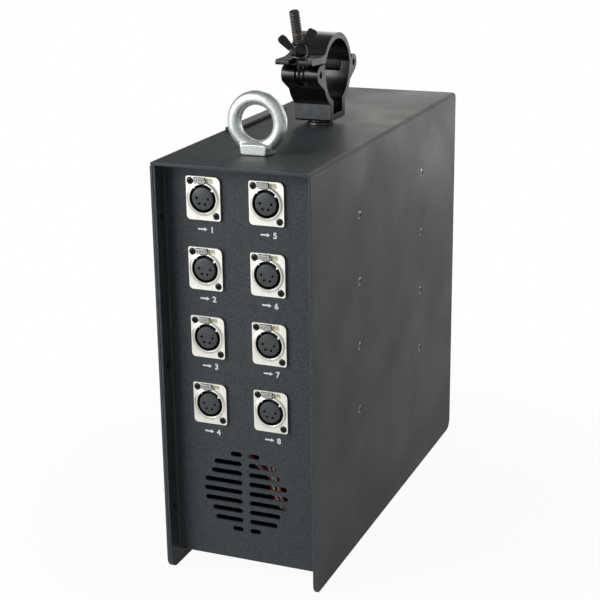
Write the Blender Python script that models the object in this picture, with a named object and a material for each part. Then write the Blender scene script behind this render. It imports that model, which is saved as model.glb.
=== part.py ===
# LED pixel controller: a narrow sheet steel box that hangs from a truss clamp, with eight
# output sockets on its front panel. Metres, +Z up. The front faces -Y and the right side +X.
# The origin is the middle of the box's footprint, at the bottom of the side plates.

import math

import bmesh
import bpy
from mathutils import Matrix, Vector

# Sheet metal body
BODY_WIDTH = 0.120
BODY_DEPTH = 0.340
BODY_HEIGHT = 0.3125
COVER_SHEET = 0.002
PANEL_SHEET = 0.0015
COVER_BEND = 0.0015
PANEL_BEND = 0.0012
COVER_LEFT_SHY = 0.0006
PANEL_SETBACK = 0.0137
SKID_HEIGHT = 0.012
SKID_CORNER = 0.009
FLANGE_RETURN = 0.012
SEAM = 0.0003

# Output sockets, seen from the front
SOCKET_COLUMNS = (-0.02545, 0.02226)
SOCKET_TOP_DROP = 0.02575
SOCKET_LOW_ROW = 0.1342
SOCKET_ROWS = 4
FLANGE_WIDTH = 0.026
FLANGE_HEIGHT = 0.031
FLANGE_SHEET = 0.0016
FLANGE_SCREW_X = 0.0097
FLANGE_SCREW_Z = 0.0121
SCREW_RECESS_RADIUS = 0.0026
SCREW_RECESS_DEPTH = 0.0009
BORE_RADIUS = 0.010
BARREL_RADIUS = 0.0118
BARREL_LENGTH = 0.021
BARREL_BACK_WALL = 0.002
BOSS_HEIGHT = 0.0013
BOSS_FOOT_RADIUS = 0.0126
BOSS_RIM_RADIUS = 0.0112
PANEL_HOLE_CLEARANCE = 0.0003
INSERT_RADIUS = 0.00805
INSERT_COLLAR = 0.003
INSERT_TAIL_RADIUS = 0.0072
INSERT_TAIL = 0.008
CONTACT_CIRCLE = 0.0043
CONTACT_RADIUS = 0.0009
CONTACT_DEPTH = 0.007
CONTACT_ANGLES = (175, 236, 297, 358)
LATCH_LEFT = -0.0068
LATCH_WIDTH = 0.0088
LATCH_BOTTOM = 0.0108
LATCH_HEIGHT = 0.0036
LATCH_PROUD = 0.0010
LATCH_TAB = 0.0012
LATCH_SHOULDER = 0.0012
LATCH_EDGE = 0.0003
LATCH_STEM = 0.010
LATCH_CLEARANCE = 0.0002

# Ventilation slots: nine rows in two columns inside a circle
GRILLE_X = 0.00035
GRILLE_Z = 0.0662
SLOT_PITCH = 0.0075
SLOT_HEIGHT = 0.004
SLOT_MIDDLE_BAR = 0.0053
SLOT_REACHES = (0.0334, 0.0329, 0.0273, 0.0249, 0.0115)

# Lifting eye
EYE_SETBACK = 0.050
EYE_RING_RADIUS = 0.0175
EYE_STOCK_RADIUS = 0.005
EYE_CENTRE_HEIGHT = 0.0222
EYE_COLLAR_RADIUS = 0.0125
EYE_COLLAR_HEIGHT = 0.0094
EYE_SHANK_RADIUS = 0.0048
EYE_SHANK = 0.014

# Threaded bushes under the top
BUSH_RADIUS = 0.009
BUSH_DEPTH = 0.010

# Truss clamp, heights from the top of the box
CLAMP_Y = 0.0006
CLAMP_WIDTH = 0.0294
CLAMP_BASE_HALF = 0.0158
CLAMP_BASE_EDGE = 0.002
CHANNEL_HALF = 0.0092
CHANNEL_FLOOR = 0.0091
TUBE_CENTRE = 0.0435
CRADLE_RADIUS = 0.0254
CRADLE_OUTER = 0.0302
CRADLE_MOUTH_HALF = 0.0267
CRADLE_TOP = 0.0500
PIN_SPACING_HALF = 0.0355
PIN_HEIGHT = 0.0432
PIN_RADIUS = 0.0026
PIN_CLEARANCE = 0.0001
KNUCKLE_RADIUS = 0.0068
JAW_CENTRE = 0.042
JAW_INNER_HALF = 0.0266
JAW_INNER_RISE = 0.024
JAW_OUTER_HALF = 0.0306
JAW_OUTER_RISE = 0.0286
JAW_LOW = 0.0507
JAW_REAR_LOW = 0.0458
JAW_FLANGE_TIP = 0.0526
JAW_FLANGE_LOW = 0.0523
JAW_FLANGE_SHEET = 0.0038
JAW_SLOT_HALF = 0.0041
JAW_SLOT_END = 0.0300
TONGUE_HALF = 0.0068
TONGUE_CLEARANCE = 0.0005
TONGUE_FLOOR = 0.0378

# Swing bolt and wing nut, along the bolt from its pin
BOLT_LEAN = math.radians(17)
BOLT_EYE_HALF = 0.0038
BOLT_EYE_CLEARANCE = 0.0003
BOLT_EYE_RADIUS = 0.0058
BOLT_RADIUS = 0.0036
BOLT_LENGTH = 0.0512
NUT_SEAT = 0.0155
NUT_WASHER_RADIUS = 0.006
NUT_WASHER = 0.001
NUT_BORE_CLEARANCE = 0.0003
NUT_HUB_RADIUS = 0.0065
NUT_HUB_TOP_RADIUS = 0.0056
NUT_HUB = 0.0085
NUT_TURN = math.radians(38)
WING_REACH = 0.0129
WING_RISE = 0.0165
WING_WIDTH = 0.0068
WING_SHEET = 0.0034
WING_LEAN = math.radians(57)

# Mounting bolt and washers of the clamp
MOUNT_BOLT_RADIUS = 0.0048
MOUNT_BOLT_CLEARANCE = 0.0004
MOUNT_HEAD_RADIUS = 0.0086
MOUNT_HEAD = 0.006
MOUNT_BOLT_BELOW = 0.012
FLAT_WASHER_RADIUS = 0.0104
FLAT_WASHER = 0.0019
SPRING_WASHER_RADIUS = 0.0088
SPRING_WASHER = 0.0017
SPRING_WASHER_SPLIT = 0.0012

# Low strip on the top, beside the left edge
STRIP_INSET = 0.00295
STRIP_Y = -0.0035
STRIP_WIDTH = 0.0095
STRIP_LENGTH = 0.098
STRIP_HEIGHT = 0.0028
STRIP_EDGE = 0.0004

# Power supplies on the right side, each behind four of the side screws
SUPPLY_THICKNESS = 0.038
SUPPLY_LENGTH = 0.199
SUPPLY_TOP_DROP = 0.027
SUPPLY_LOW = 0.0865
SUPPLY_GAP = 0.003
SUPPLY_TERMINAL_DEPTH = 0.018
SUPPLY_TERMINAL_DROP = 0.016
SUPPLY_TERMINALS = 9
SUPPLY_TERMINAL_HALF = 0.0032
SUPPLY_TERMINAL_LIFT = 0.001
SUPPLY_TERMINAL_ROOT = 0.005
SUPPLY_TERMINAL_FRONT = 0.004
SUPPLY_TERMINAL_BACK = 0.003

# Driver board on the floor
BOARD_WIDTH = 0.096
BOARD_END_ROOM = 0.080
BOARD_SHEET = 0.0016
BOARD_POST = 0.008
BOARD_POST_RADIUS = 0.003
BOARD_POST_INSET = 0.006
CAPACITOR_ROW = -0.75
CAPACITOR_SHARES = (-0.72, -0.48, -0.24, 0.0, 0.24, 0.48, 0.72)
CAPACITOR_SIZE = (0.010, 0.016, 0.012)
BOARD_CHIPS = (
    (0.125, 0.333, 0.014, 0.014, 0.0025),
    (0.125, -0.222, 0.010, 0.022, 0.0025),
    (0.708, 0.667, 0.012, 0.014, 0.011),
    (0.708, -0.667, 0.012, 0.014, 0.011),
)

# Output leads behind the front grille
LEAD_RADIUS = 0.00093
LEAD_SPACING = 0.00178
LEAD_STEPS = 2
LEAD_DEPTH = 0.036
LEAD_TERMINALS = (0.0092, 0.0142, 0.0192)
LEAD_TERMINAL_INSET = 0.001
LEAD_TERMINAL_LENGTH = 0.010
LEAD_TERMINAL_WIDTH = 0.019
LEAD_TERMINAL_HEIGHT = 0.0105
LEAD_TERMINAL_RISE = 0.0056
LEAD_1_FROM_SOCKET = ((0, 0, 0), (0.0002, 0.0075, -0.0010), (0.0035, 0.0105, -0.0140))
LEAD_1_IN_GRILLE = (
    (-0.00935, 0.0010, 0.0298),
    (0.00295, 0, 0.0055),
    (0.00605, 0, -0.0109),
    (0.00825, 0.0003, -0.0188),
    (0.01135, 0.0020, -0.0267),
)
LEAD_1_TO_TERMINAL = ((-0.0003, -0.0220, 0.0038), (0, -0.0110, 0.0004), (0, 0, 0))
LEAD_2_FROM_SOCKET = ((0, 0, 0), (-0.0002, 0.0075, -0.0010), (-0.0030, 0.0105, -0.0140))
LEAD_2_IN_GRILLE = (
    (0.01115, 0.0010, 0.0308),
    (0.00795, 0, 0.0063),
    (0.01145, 0, -0.0100),
    (0.01355, 0.0003, -0.0179),
    (0.01625, 0.0020, -0.0262),
)
LEAD_2_TO_TERMINAL = ((-0.0003, -0.0220, 0.0040), (0, -0.0110, 0.0004), (0, 0, 0))
LEAD_3_FROM_SOCKET = (
    (0, 0, 0),
    (-0.0002, 0.0085, -0.0010),
    (-0.0015, 0.0130, -0.0140),
    (-0.0025, 0.0140, -0.0400),
    (0.0020, 0.0115, -0.0800),
)
LEAD_3_IN_GRILLE = (
    (-0.01285, 0, 0.0146),
    (-0.00115, 0.0006, 0.0032),
    (0.00265, 0.0062, -0.0062),
    (0.00345, 0.0085, -0.0152),
    (0.00545, 0.0120, -0.0257),
)
LEAD_3_TO_TERMINAL = ((-0.0006, -0.0120, 0.0030), (0, 0, 0))

# Rear panel fittings. A row's share is its height between the fan's top and the box's top
POWER_ROW_SHARE = 0.1742
DATA_ROW_SHARE = 0.4676
BUTTON_ROW_SHARE = 0.6569
DISPLAY_ROW_SHARE = 0.8083
FAN_SIZE = 0.070
FAN_THICKNESS = 0.020
FAN_BORE = 0.0335
FAN_WALL = 0.0015
FAN_CORNER = 0.004
ROTOR_RADIUS = 0.0322
ROTOR_HUB_RADIUS = 0.0145
ROTOR_DEPTH = 0.0135
ROTOR_EDGE = 0.0015
ROTOR_CAP = 0.004
ROTOR_BLADES = 7
BLADE_SHEET = 0.0016
BLADE_CHORD = 0.0156
BLADE_PITCH = math.radians(38)
FAN_SPIDER = 0.003
FAN_ARMS = 3
FAN_ARM_WIDTH = 0.005
FAN_END_PLAY = 0.0006
FAN_SHAFT_RADIUS = 0.003
FAN_SHAFT_CLEARANCE = 0.0003
INLET_X = 0.022
INLET_WIDTH = 0.040
INLET_HEIGHT = 0.050
INLET_SHEET = 0.0025
INLET_BODY_WIDTH = 0.030
INLET_BODY_HEIGHT = 0.042
INLET_BODY_DEPTH = 0.024
INLET_WELL_WIDTH = 0.0246
INLET_WELL_HEIGHT = 0.0166
INLET_WELL_DEPTH = 0.017
INLET_WELL_RISE = 0.0095
INLET_WELL_CORNER = 0.006
INLET_BLADE = (0.002, 0.012, 0.004)
INLET_BLADE_PLACES = ((-0.007, -0.002), (0, 0.002), (0.007, -0.002))
DRAWER_DROP = 0.0125
DRAWER_NOTCH = (0.008, 0.0015, 0.001)
DRAWER_WIDTH = 0.024
DRAWER_HEIGHT = 0.009
DRAWER_DEPTH = 0.016
DRAWER_CLEARANCE = 0.0003
DRAWER_PROUD = 0.0012
DRAWER_EDGE = 0.0004
SWITCH_X = -0.026
SWITCH_WIDTH = 0.021
SWITCH_HEIGHT = 0.030
SWITCH_SHEET = 0.002
SWITCH_RIM = 0.002
SWITCH_WELL = 0.012
SWITCH_DEPTH = 0.020
ROCKER_WIDTH = 0.0130
ROCKER_HEIGHT = 0.0200
ROCKER_DIP = 0.0012
ROCKER_TIP = 18
ROCKER_TILT = math.radians(9)
ROCKER_CLEARANCE = 0.0006
DATA_COLUMNS = (0.0235, -0.0235)
DATA_PIN_CIRCLE = 0.0048
DATA_PIN_RADIUS = 0.0010
DATA_PIN_START = 0.003
DISPLAY_WIDTH = 0.072
DISPLAY_HEIGHT = 0.026
DISPLAY_SHEET = 0.002
DISPLAY_RIM = 0.002
DISPLAY_SIDE_RIM = 0.004
DISPLAY_RECESS = 0.0012
DISPLAY_BOARD_WIDTH = 0.080
DISPLAY_BOARD_BELOW = 0.010
BUTTONS = 4
BUTTON_PITCH = 0.020
BUTTON_RADIUS = 0.0045
BUTTON_PROUD = 0.0022
BUTTON_STEM = 0.006
BUTTON_COLLAR = 0.0012
BUTTON_COLLAR_RADIUS = 0.0058
BUTTON_CLEARANCE = 0.0003
BUTTON_TRAVEL = 0.001

# What follows from those sizes
FRONT = -BODY_DEPTH / 2
BACK = BODY_DEPTH / 2
TOP = BODY_HEIGHT
RIGHT_INNER = BODY_WIDTH / 2 - COVER_SHEET
LEFT_INNER = -RIGHT_INNER
UNDER_TOP = TOP - COVER_SHEET
PANEL_FRONT = FRONT + PANEL_SETBACK
PANEL_BACK = BACK - PANEL_SETBACK
PANEL_LEFT = LEFT_INNER + SEAM
PANEL_RIGHT = RIGHT_INNER - SEAM
PANEL_TOP = UNDER_TOP - SEAM
PANEL_LOW = SKID_HEIGHT
SOCKET_TOP_ROW = TOP - SOCKET_TOP_DROP
SOCKET_PITCH = (SOCKET_TOP_ROW - SOCKET_LOW_ROW) / (SOCKET_ROWS - 1)
EYE_Y = FRONT + EYE_SETBACK
STRIP_X = -BODY_WIDTH / 2 + STRIP_INSET + STRIP_WIDTH / 2
SUPPLY_HEIGHT = (TOP - SUPPLY_TOP_DROP - SUPPLY_LOW - SUPPLY_GAP) / 2
LOWER_SUPPLY_Z = SUPPLY_LOW + SUPPLY_HEIGHT / 2
UPPER_SUPPLY_Z = LOWER_SUPPLY_Z + SUPPLY_HEIGHT + SUPPLY_GAP
FLOOR_TOP = SKID_HEIGHT + PANEL_SHEET
BOARD_LENGTH = BODY_DEPTH - 2 * BOARD_END_ROOM
BOARD_LOW = FLOOR_TOP + SEAM + BOARD_POST
BOARD_TOP = BOARD_LOW + BOARD_SHEET
LEAD_TERMINAL_FRONT = -BOARD_LENGTH / 2 + LEAD_TERMINAL_INSET
LEAD_TERMINAL_Z = BOARD_TOP + LEAD_TERMINAL_RISE
FAN_TOP = GRILLE_Z + FAN_SIZE / 2
INLET_Z = FAN_TOP + POWER_ROW_SHARE * (TOP - FAN_TOP)
SWITCH_Z = INLET_Z
DATA_Z = FAN_TOP + DATA_ROW_SHARE * (TOP - FAN_TOP)
BUTTON_Z = FAN_TOP + BUTTON_ROW_SHARE * (TOP - FAN_TOP)
DISPLAY_Z = FAN_TOP + DISPLAY_ROW_SHARE * (TOP - FAN_TOP)
INSERT_END = BARREL_LENGTH - 2 * SEAM - BARREL_BACK_WALL + INSERT_TAIL
PANEL_HOLE_RADIUS = BARREL_RADIUS + PANEL_HOLE_CLEARANCE
CLAMP_BASE_LOW = FLAT_WASHER + SPRING_WASHER + 3 * SEAM
WELL_Z = INLET_Z + INLET_WELL_RISE
DRAWER_Z = INLET_Z - DRAWER_DROP
BUTTON_BOARD_DEPTH = BUTTON_STEM + BUTTON_TRAVEL + SEAM
CURVE_STEPS = 6
SLOT_STEPS = 4
ROUND = 32
SOCKET_ROUND = 20
SMALL_ROUND = 16
TINY_ROUND = 8
OVERSHOOT = 0.003

FACING_Y = Matrix.Rotation(math.radians(90), 4, "X")
FACING_X = Matrix(((0, 0, 1, 0), (1, 0, 0, 0), (0, 1, 0, 0), (0, 0, 0, 1)))
FACING_Z = Matrix.Identity(4)


def clear_scene():
    for obj in list(bpy.data.objects):
        bpy.data.objects.remove(obj)


def new_collection(name):
    collection = bpy.data.collections.new(name)
    bpy.context.scene.collection.children.link(collection)
    return collection


clear_scene()
parts = new_collection("led_pixel_controller")
cutters = new_collection("cutters")


def principled(name, colour, roughness, metallic=0.0):
    material = bpy.data.materials.new(name)
    material.use_nodes = True
    shader = material.node_tree.nodes["Principled BSDF"]
    shader.inputs["Base Color"].default_value = (*colour, 1.0)
    shader.inputs["Roughness"].default_value = roughness
    shader.inputs["Metallic"].default_value = metallic
    return material


def powder_coat():
    return principled("powder_coat", (0.055, 0.060, 0.065), 0.55)


def nickel():
    return principled("nickel", (0.72, 0.72, 0.68), 0.35, 1.0)


def insert_plastic():
    return principled("insert_plastic", (0.06, 0.065, 0.07), 0.45)


def latch_metal():
    return principled("latch_metal", (0.50, 0.53, 0.52), 0.40, 0.8)


def zinc():
    return principled("zinc", (0.75, 0.77, 0.78), 0.30, 1.0)


def black_aluminium():
    return principled("black_aluminium", (0.02, 0.02, 0.022), 0.38, 0.6)


def black_steel():
    return principled("black_steel", (0.025, 0.025, 0.027), 0.35, 0.7)


def black_plastic():
    return principled("black_plastic", (0.02, 0.02, 0.02), 0.5)


def button_plastic():
    return principled("button_plastic", (0.12, 0.12, 0.125), 0.45)


def supply_case():
    return principled("supply_case", (0.60, 0.61, 0.62), 0.4, 0.9)


def board_laminate():
    return principled("board_laminate", (0.03, 0.14, 0.07), 0.5)


def lead_insulation():
    return principled("lead_insulation", (0.45, 0.03, 0.03), 0.5)


def strip_rubber():
    return principled("strip_rubber", (0.02, 0.02, 0.02), 0.6)


def link(obj, material=None, collection=parts):
    collection.objects.link(obj)
    if material is not None:
        obj.data.materials.clear()
        obj.data.materials.append(material)
    if collection is cutters:
        obj.hide_render = True
        obj.display_type = "WIRE"
    return obj


def on_circle(x, y, radius, degrees):
    angle = math.radians(degrees)
    return (x + radius * math.cos(angle), y + radius * math.sin(angle))


def circle(x, y, radius, count=ROUND):
    return [on_circle(x, y, radius, 360 * i / count) for i in range(count)]


def arc(x, y, radius, start, end, count):
    """Points on an arc; the angles are in degrees."""
    return [on_circle(x, y, radius, start + (end - start) * i / count) for i in range(count + 1)]


def rounded_rectangle(x, y, width, height, radii, count=CURVE_STEPS):
    """The radii run from the upper right corner anticlockwise."""
    outline = []
    corners = ((1, 1, 0), (-1, 1, 90), (-1, -1, 180), (1, -1, 270))
    for (side, rise, start), radius in zip(corners, radii):
        centre_x = x + side * (width / 2 - radius)
        centre_y = y + rise * (height / 2 - radius)
        outline += arc(centre_x, centre_y, radius, start, start + 90, count)
    return outline


def rectangle(x, y, width, height):
    return [
        (x + width / 2, y + height / 2),
        (x - width / 2, y + height / 2),
        (x - width / 2, y - height / 2),
        (x + width / 2, y - height / 2),
    ]


def stadium(left, right, y, height):
    """A slot with round ends."""
    radius = height / 2
    left_end = arc(left + radius, y, radius, 90, 270, SLOT_STEPS)
    return left_end + arc(right - radius, y, radius, -90, 90, SLOT_STEPS)


def mesh_from_outlines(name, outlines, thickness):
    """A filled flat shape, extruded evenly to both sides of its plane."""
    curve = bpy.data.curves.new(name, "CURVE")
    curve.dimensions = "2D"
    curve.fill_mode = "BOTH"
    curve.extrude = thickness / 2
    for outline in outlines:
        spline = curve.splines.new("POLY")
        spline.points.add(len(outline) - 1)
        for point, (x, y) in zip(spline.points, outline):
            point.co = (x, y, 0, 1)
        spline.use_cyclic_u = True
    helper = bpy.data.objects.new(name, curve)
    bpy.context.scene.collection.objects.link(helper)
    graph = bpy.context.evaluated_depsgraph_get()
    mesh = bpy.data.meshes.new_from_object(helper.evaluated_get(graph))
    bpy.data.objects.remove(helper)
    bpy.data.curves.remove(curve)
    shape = bmesh.new()
    shape.from_mesh(mesh)
    bmesh.ops.remove_doubles(shape, verts=shape.verts, dist=1e-6)
    bmesh.ops.dissolve_limit(
        shape, angle_limit=math.radians(0.5), verts=shape.verts, edges=shape.edges
    )
    bmesh.ops.recalc_face_normals(shape, faces=shape.faces)
    shape.to_mesh(mesh)
    shape.free()
    mesh.name = name
    return mesh


def plate(name, outlines, facing, start, end, material=None, collection=parts):
    """A flat shape with its faces at start and end along the axis that it faces."""
    mesh = mesh_from_outlines(name, outlines, end - start)
    middle = (start + end) / 2
    place = {id(FACING_X): (middle, 0, 0), id(FACING_Y): (0, middle, 0), id(FACING_Z): (0, 0, middle)}
    mesh.transform(Matrix.Translation(place[id(facing)]) @ facing)
    return link(bpy.data.objects.new(name, mesh), material, collection)


def block(name, low, high, material=None, collection=parts, edge=0.0):
    """A box between two corners, with its edges broken if an edge size is given."""
    low = Vector(low)
    high = Vector(high)
    shape = bmesh.new()
    bmesh.ops.create_cube(shape, size=1.0)
    bmesh.ops.scale(shape, vec=high - low, verts=shape.verts)
    bmesh.ops.translate(shape, vec=(low + high) / 2, verts=shape.verts)
    if edge:
        bmesh.ops.bevel(shape, geom=shape.edges[:], offset=edge, segments=1, affect="EDGES")
    mesh = bpy.data.meshes.new(name)
    shape.to_mesh(mesh)
    shape.free()
    return link(bpy.data.objects.new(name, mesh), material, collection)


def panel_block(name, x, z, width, height, start, end, collection=cutters):
    """A box given as it is seen on a panel, by its middle and size, between two depths along Y."""
    low = (x - width / 2, start, z - height / 2)
    high = (x + width / 2, end, z + height / 2)
    return block(name, low, high, collection=collection)


def turned_mesh(name, profile, count=ROUND, closed=True):
    """A round body about local Z from (radius, height) points."""
    shape = bmesh.new()
    points = [shape.verts.new((radius, 0, height)) for radius, height in profile]
    pairs = list(zip(points, points[1:]))
    if closed:
        pairs.append((points[-1], points[0]))
    for first, second in pairs:
        shape.edges.new((first, second))
    bmesh.ops.spin(
        shape,
        geom=shape.verts[:] + shape.edges[:],
        cent=(0, 0, 0),
        axis=(0, 0, 1),
        angle=math.tau,
        steps=count,
        use_duplicate=False,
    )
    bmesh.ops.remove_doubles(shape, verts=shape.verts, dist=1e-6)
    bmesh.ops.recalc_face_normals(shape, faces=shape.faces)
    mesh = bpy.data.meshes.new(name)
    shape.to_mesh(mesh)
    shape.free()
    mesh.shade_smooth()
    mesh.set_sharp_from_angle(angle=math.radians(35))
    return mesh


def turned(name, profile, place, material=None, collection=parts, count=ROUND, closed=True):
    mesh = turned_mesh(name, profile, count, closed)
    mesh.transform(place)
    return link(bpy.data.objects.new(name, mesh), material, collection)


def rod(name, radius, start, end, place, material=None, collection=parts, count=ROUND):
    """A plain round bar along local Z."""
    profile = [(0, start), (radius, start), (radius, end), (0, end)]
    return turned(name, profile, place, material, collection, count, closed=False)


def tube_profile(inner, outer, start, end):
    return [(inner, start), (outer, start), (outer, end), (inner, end)]


def change(target, other, operation):
    modifier = target.modifiers.new(other.name, "BOOLEAN")
    modifier.object = other
    modifier.operation = operation
    modifier.solver = "EXACT"


def cut(target, *others):
    for other in others:
        change(target, other, "DIFFERENCE")


def join(target, *others):
    for other in others:
        change(target, other, "UNION")


def settle(obj):
    """Keeps the shape that the modifiers give, and clears the helpers they used."""
    graph = bpy.context.evaluated_depsgraph_get()
    mesh = bpy.data.meshes.new_from_object(obj.evaluated_get(graph))
    helpers = [modifier.object for modifier in obj.modifiers if modifier.type == "BOOLEAN"]
    obj.modifiers.clear()
    obj.data = mesh
    for helper in set(helpers):
        if helper.users_collection and helper.users_collection[0] is cutters:
            bpy.data.objects.remove(helper)
    return obj


def move_origin(obj, point):
    """Puts the object's origin on its joint without moving its shape."""
    obj.data.transform(Matrix.Translation(-Vector(point)))
    obj.location = point


def skid_corner_cutters():
    """Round the front and back corners at the bottom of the side plates."""
    made = []
    for name, end, inward in (("front_skid_corner", FRONT, 1), ("back_skid_corner", BACK, -1)):
        centre = end + inward * SKID_CORNER
        curve = [
            (centre - inward * SKID_CORNER * math.sin(a), SKID_CORNER - SKID_CORNER * math.cos(a))
            for a in (math.radians(90) * i / CURVE_STEPS for i in range(CURVE_STEPS + 1))
        ]
        outside = end - inward * OVERSHOOT
        outline = curve + [(outside, SKID_CORNER), (outside, -OVERSHOOT), (centre, -OVERSHOOT)]
        reach = BODY_WIDTH / 2 + OVERSHOOT
        made.append(plate(name, [outline], FACING_X, -reach, reach, collection=cutters))
    return made


skid_corners = skid_corner_cutters()


def bend_corner_cutter():
    """What the end panels lose so that their corner fits inside the cover's bend."""
    centre_x = BODY_WIDTH / 2 - COVER_BEND - COVER_SHEET
    centre_z = TOP - COVER_BEND - COVER_SHEET
    outline = arc(centre_x, centre_z, COVER_BEND - SEAM, 90, 0, CURVE_STEPS)
    outline += [(PANEL_RIGHT + OVERSHOOT, centre_z), (PANEL_RIGHT + OVERSHOOT, TOP), (centre_x, TOP)]
    return plate("bend_corner", [outline], FACING_Y, FRONT, BACK, collection=cutters)


bend_corner = bend_corner_cutter()


def outer_cover(material):
    """The top and the right side, bent from one sheet, with two threaded bushes underneath."""
    half = BODY_WIDTH / 2
    outer = COVER_BEND + COVER_SHEET
    left = -half + COVER_LEFT_SHY
    centre_x = half - outer
    centre_z = TOP - outer
    outline = [(left, TOP)]
    outline += arc(centre_x, centre_z, outer, 90, 0, CURVE_STEPS)
    outline += [(half, 0), (half - COVER_SHEET, 0)]
    outline += arc(centre_x, centre_z, COVER_BEND, 0, 90, CURVE_STEPS)
    outline += [(left, UNDER_TOP)]
    cover = plate("outer_cover", [outline], FACING_Y, FRONT, BACK, material)
    cut(cover, *skid_corners)
    bushes = (("eye_bush", EYE_Y, EYE_SHANK_RADIUS), ("clamp_bush", CLAMP_Y, MOUNT_BOLT_RADIUS))
    for name, y, radius in bushes:
        place = Matrix.Translation((0, y, UNDER_TOP))
        bush = rod(name, BUSH_RADIUS, -BUSH_DEPTH, COVER_SHEET / 2, place, collection=cutters)
        low = -BUSH_DEPTH - OVERSHOOT
        hole = rod(name + "_hole", radius + SEAM, low, COVER_SHEET + OVERSHOOT, place, collection=cutters)
        join(cover, bush)
        cut(cover, hole)
    return cover


def left_side_cover(material):
    """The flat plate that closes the left side, under the edge of the top."""
    cover = block(
        "left_side_cover", (-BODY_WIDTH / 2, FRONT, 0), (LEFT_INNER, BACK, UNDER_TOP - SEAM), material
    )
    cut(cover, *skid_corners)
    return cover


def floor_panel(material):
    """The bottom of the box, an upturned tray whose left lip runs out under the side cover."""
    inner_end = PANEL_SETBACK + PANEL_SHEET + SEAM
    tray = block(
        "floor_panel",
        (PANEL_LEFT, FRONT + inner_end, SKID_HEIGHT),
        (PANEL_RIGHT, BACK - inner_end, SKID_HEIGHT + PANEL_SHEET),
        material,
    )
    left_lip = block(
        "left_lip",
        (PANEL_LEFT, FRONT + SEAM, 0),
        (PANEL_LEFT + PANEL_SHEET, BACK - SEAM, SKID_HEIGHT - SEAM),
        collection=cutters,
    )
    left_bend = block(
        "left_bend",
        (PANEL_LEFT, FRONT + inner_end, SKID_HEIGHT / 2),
        (PANEL_LEFT + PANEL_SHEET, BACK - inner_end, SKID_HEIGHT + PANEL_SHEET / 2),
        collection=cutters,
    )
    right_lip = block(
        "right_lip",
        (PANEL_RIGHT - PANEL_SHEET, FRONT + inner_end, SKID_HEIGHT / 4),
        (PANEL_RIGHT, BACK - inner_end, SKID_HEIGHT + PANEL_SHEET / 2),
        collection=cutters,
    )
    join(tray, left_lip, left_bend, right_lip)
    cut(tray, *skid_corners)
    return tray


def end_panel(name, material, outer_face, outward):
    """A panel between the sides: its left edge is bent out to meet the side cover, its right edge in."""
    inner_face = outer_face - outward * PANEL_SHEET
    tip = outer_face + outward * (PANEL_SETBACK - SEAM)
    flange_end = inner_face - outward * FLANGE_RETURN
    bend_x = PANEL_LEFT + PANEL_SHEET + PANEL_BEND
    bend_y = outer_face + outward * PANEL_BEND
    inside = [
        (bend_x - PANEL_BEND * math.sin(a), bend_y - outward * PANEL_BEND * math.cos(a))
        for a in (math.radians(90) * i / CURVE_STEPS for i in range(CURVE_STEPS + 1))
    ]
    around = PANEL_BEND + PANEL_SHEET
    outside = [
        (bend_x - around * math.sin(a), bend_y - outward * around * math.cos(a))
        for a in (math.radians(90) * i / CURVE_STEPS for i in range(CURVE_STEPS + 1))
    ]
    outline = [(PANEL_RIGHT, outer_face)] + inside
    outline += [(PANEL_LEFT + PANEL_SHEET, tip), (PANEL_LEFT, tip)] + outside[::-1]
    outline += [
        (PANEL_RIGHT - PANEL_SHEET, inner_face),
        (PANEL_RIGHT - PANEL_SHEET, flange_end),
        (PANEL_RIGHT, flange_end),
    ]
    panel = plate(name, [outline], FACING_Z, PANEL_LOW, PANEL_TOP, material)
    ends = sorted((inner_face - outward * SEAM / 2, flange_end - outward * OVERSHOOT))
    floor_notch = block(
        name + "_floor_notch",
        (PANEL_RIGHT - PANEL_SHEET - OVERSHOOT, ends[0], PANEL_LOW - OVERSHOOT),
        (PANEL_RIGHT + OVERSHOOT, ends[1], SKID_HEIGHT + PANEL_SHEET + SEAM),
        collection=cutters,
    )
    cut(panel, floor_notch, bend_corner)
    return panel


def grille_outlines():
    """The slots of one round grille, as (x, z) outlines."""
    outlines = []
    rows = len(SLOT_REACHES) - 1
    for row in range(-rows, rows + 1):
        reach = SLOT_REACHES[abs(row)]
        z = GRILLE_Z + row * SLOT_PITCH
        inner = SLOT_MIDDLE_BAR / 2
        outlines.append(stadium(GRILLE_X - reach, GRILLE_X - inner, z, SLOT_HEIGHT))
        outlines.append(stadium(GRILLE_X + inner, GRILLE_X + reach, z, SLOT_HEIGHT))
    return outlines


def socket_centres():
    """Left column top to bottom, then right column."""
    return [(x, SOCKET_TOP_ROW - row * SOCKET_PITCH) for x in SOCKET_COLUMNS for row in range(SOCKET_ROWS)]


def socket_holes(x, z):
    """The round hole for a socket's barrel, and the notch that its latch passes through."""
    slot_left = x + LATCH_LEFT - LATCH_CLEARANCE
    slot_right = x + LATCH_LEFT + LATCH_WIDTH + LATCH_CLEARANCE
    slot_top = z + LATCH_BOTTOM + LATCH_HEIGHT + LATCH_CLEARANCE
    start = math.degrees(math.acos((slot_left - x) / PANEL_HOLE_RADIUS))
    end = math.degrees(math.acos((slot_right - x) / PANEL_HOLE_RADIUS))
    around = arc(x, z, PANEL_HOLE_RADIUS, start, end + 360, SOCKET_ROUND)
    return around + [(slot_right, slot_top), (slot_left, slot_top)]


def front_panel(material):
    panel = end_panel("front_panel", material, PANEL_FRONT, -1)
    openings = grille_outlines() + [socket_holes(x, z) for x, z in socket_centres()]
    cutter = plate(
        "front_openings", openings, FACING_Y, PANEL_FRONT - OVERSHOOT, PANEL_FRONT + PANEL_SHEET + OVERSHOOT,
        collection=cutters,
    )
    cut(panel, cutter)
    return panel


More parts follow.
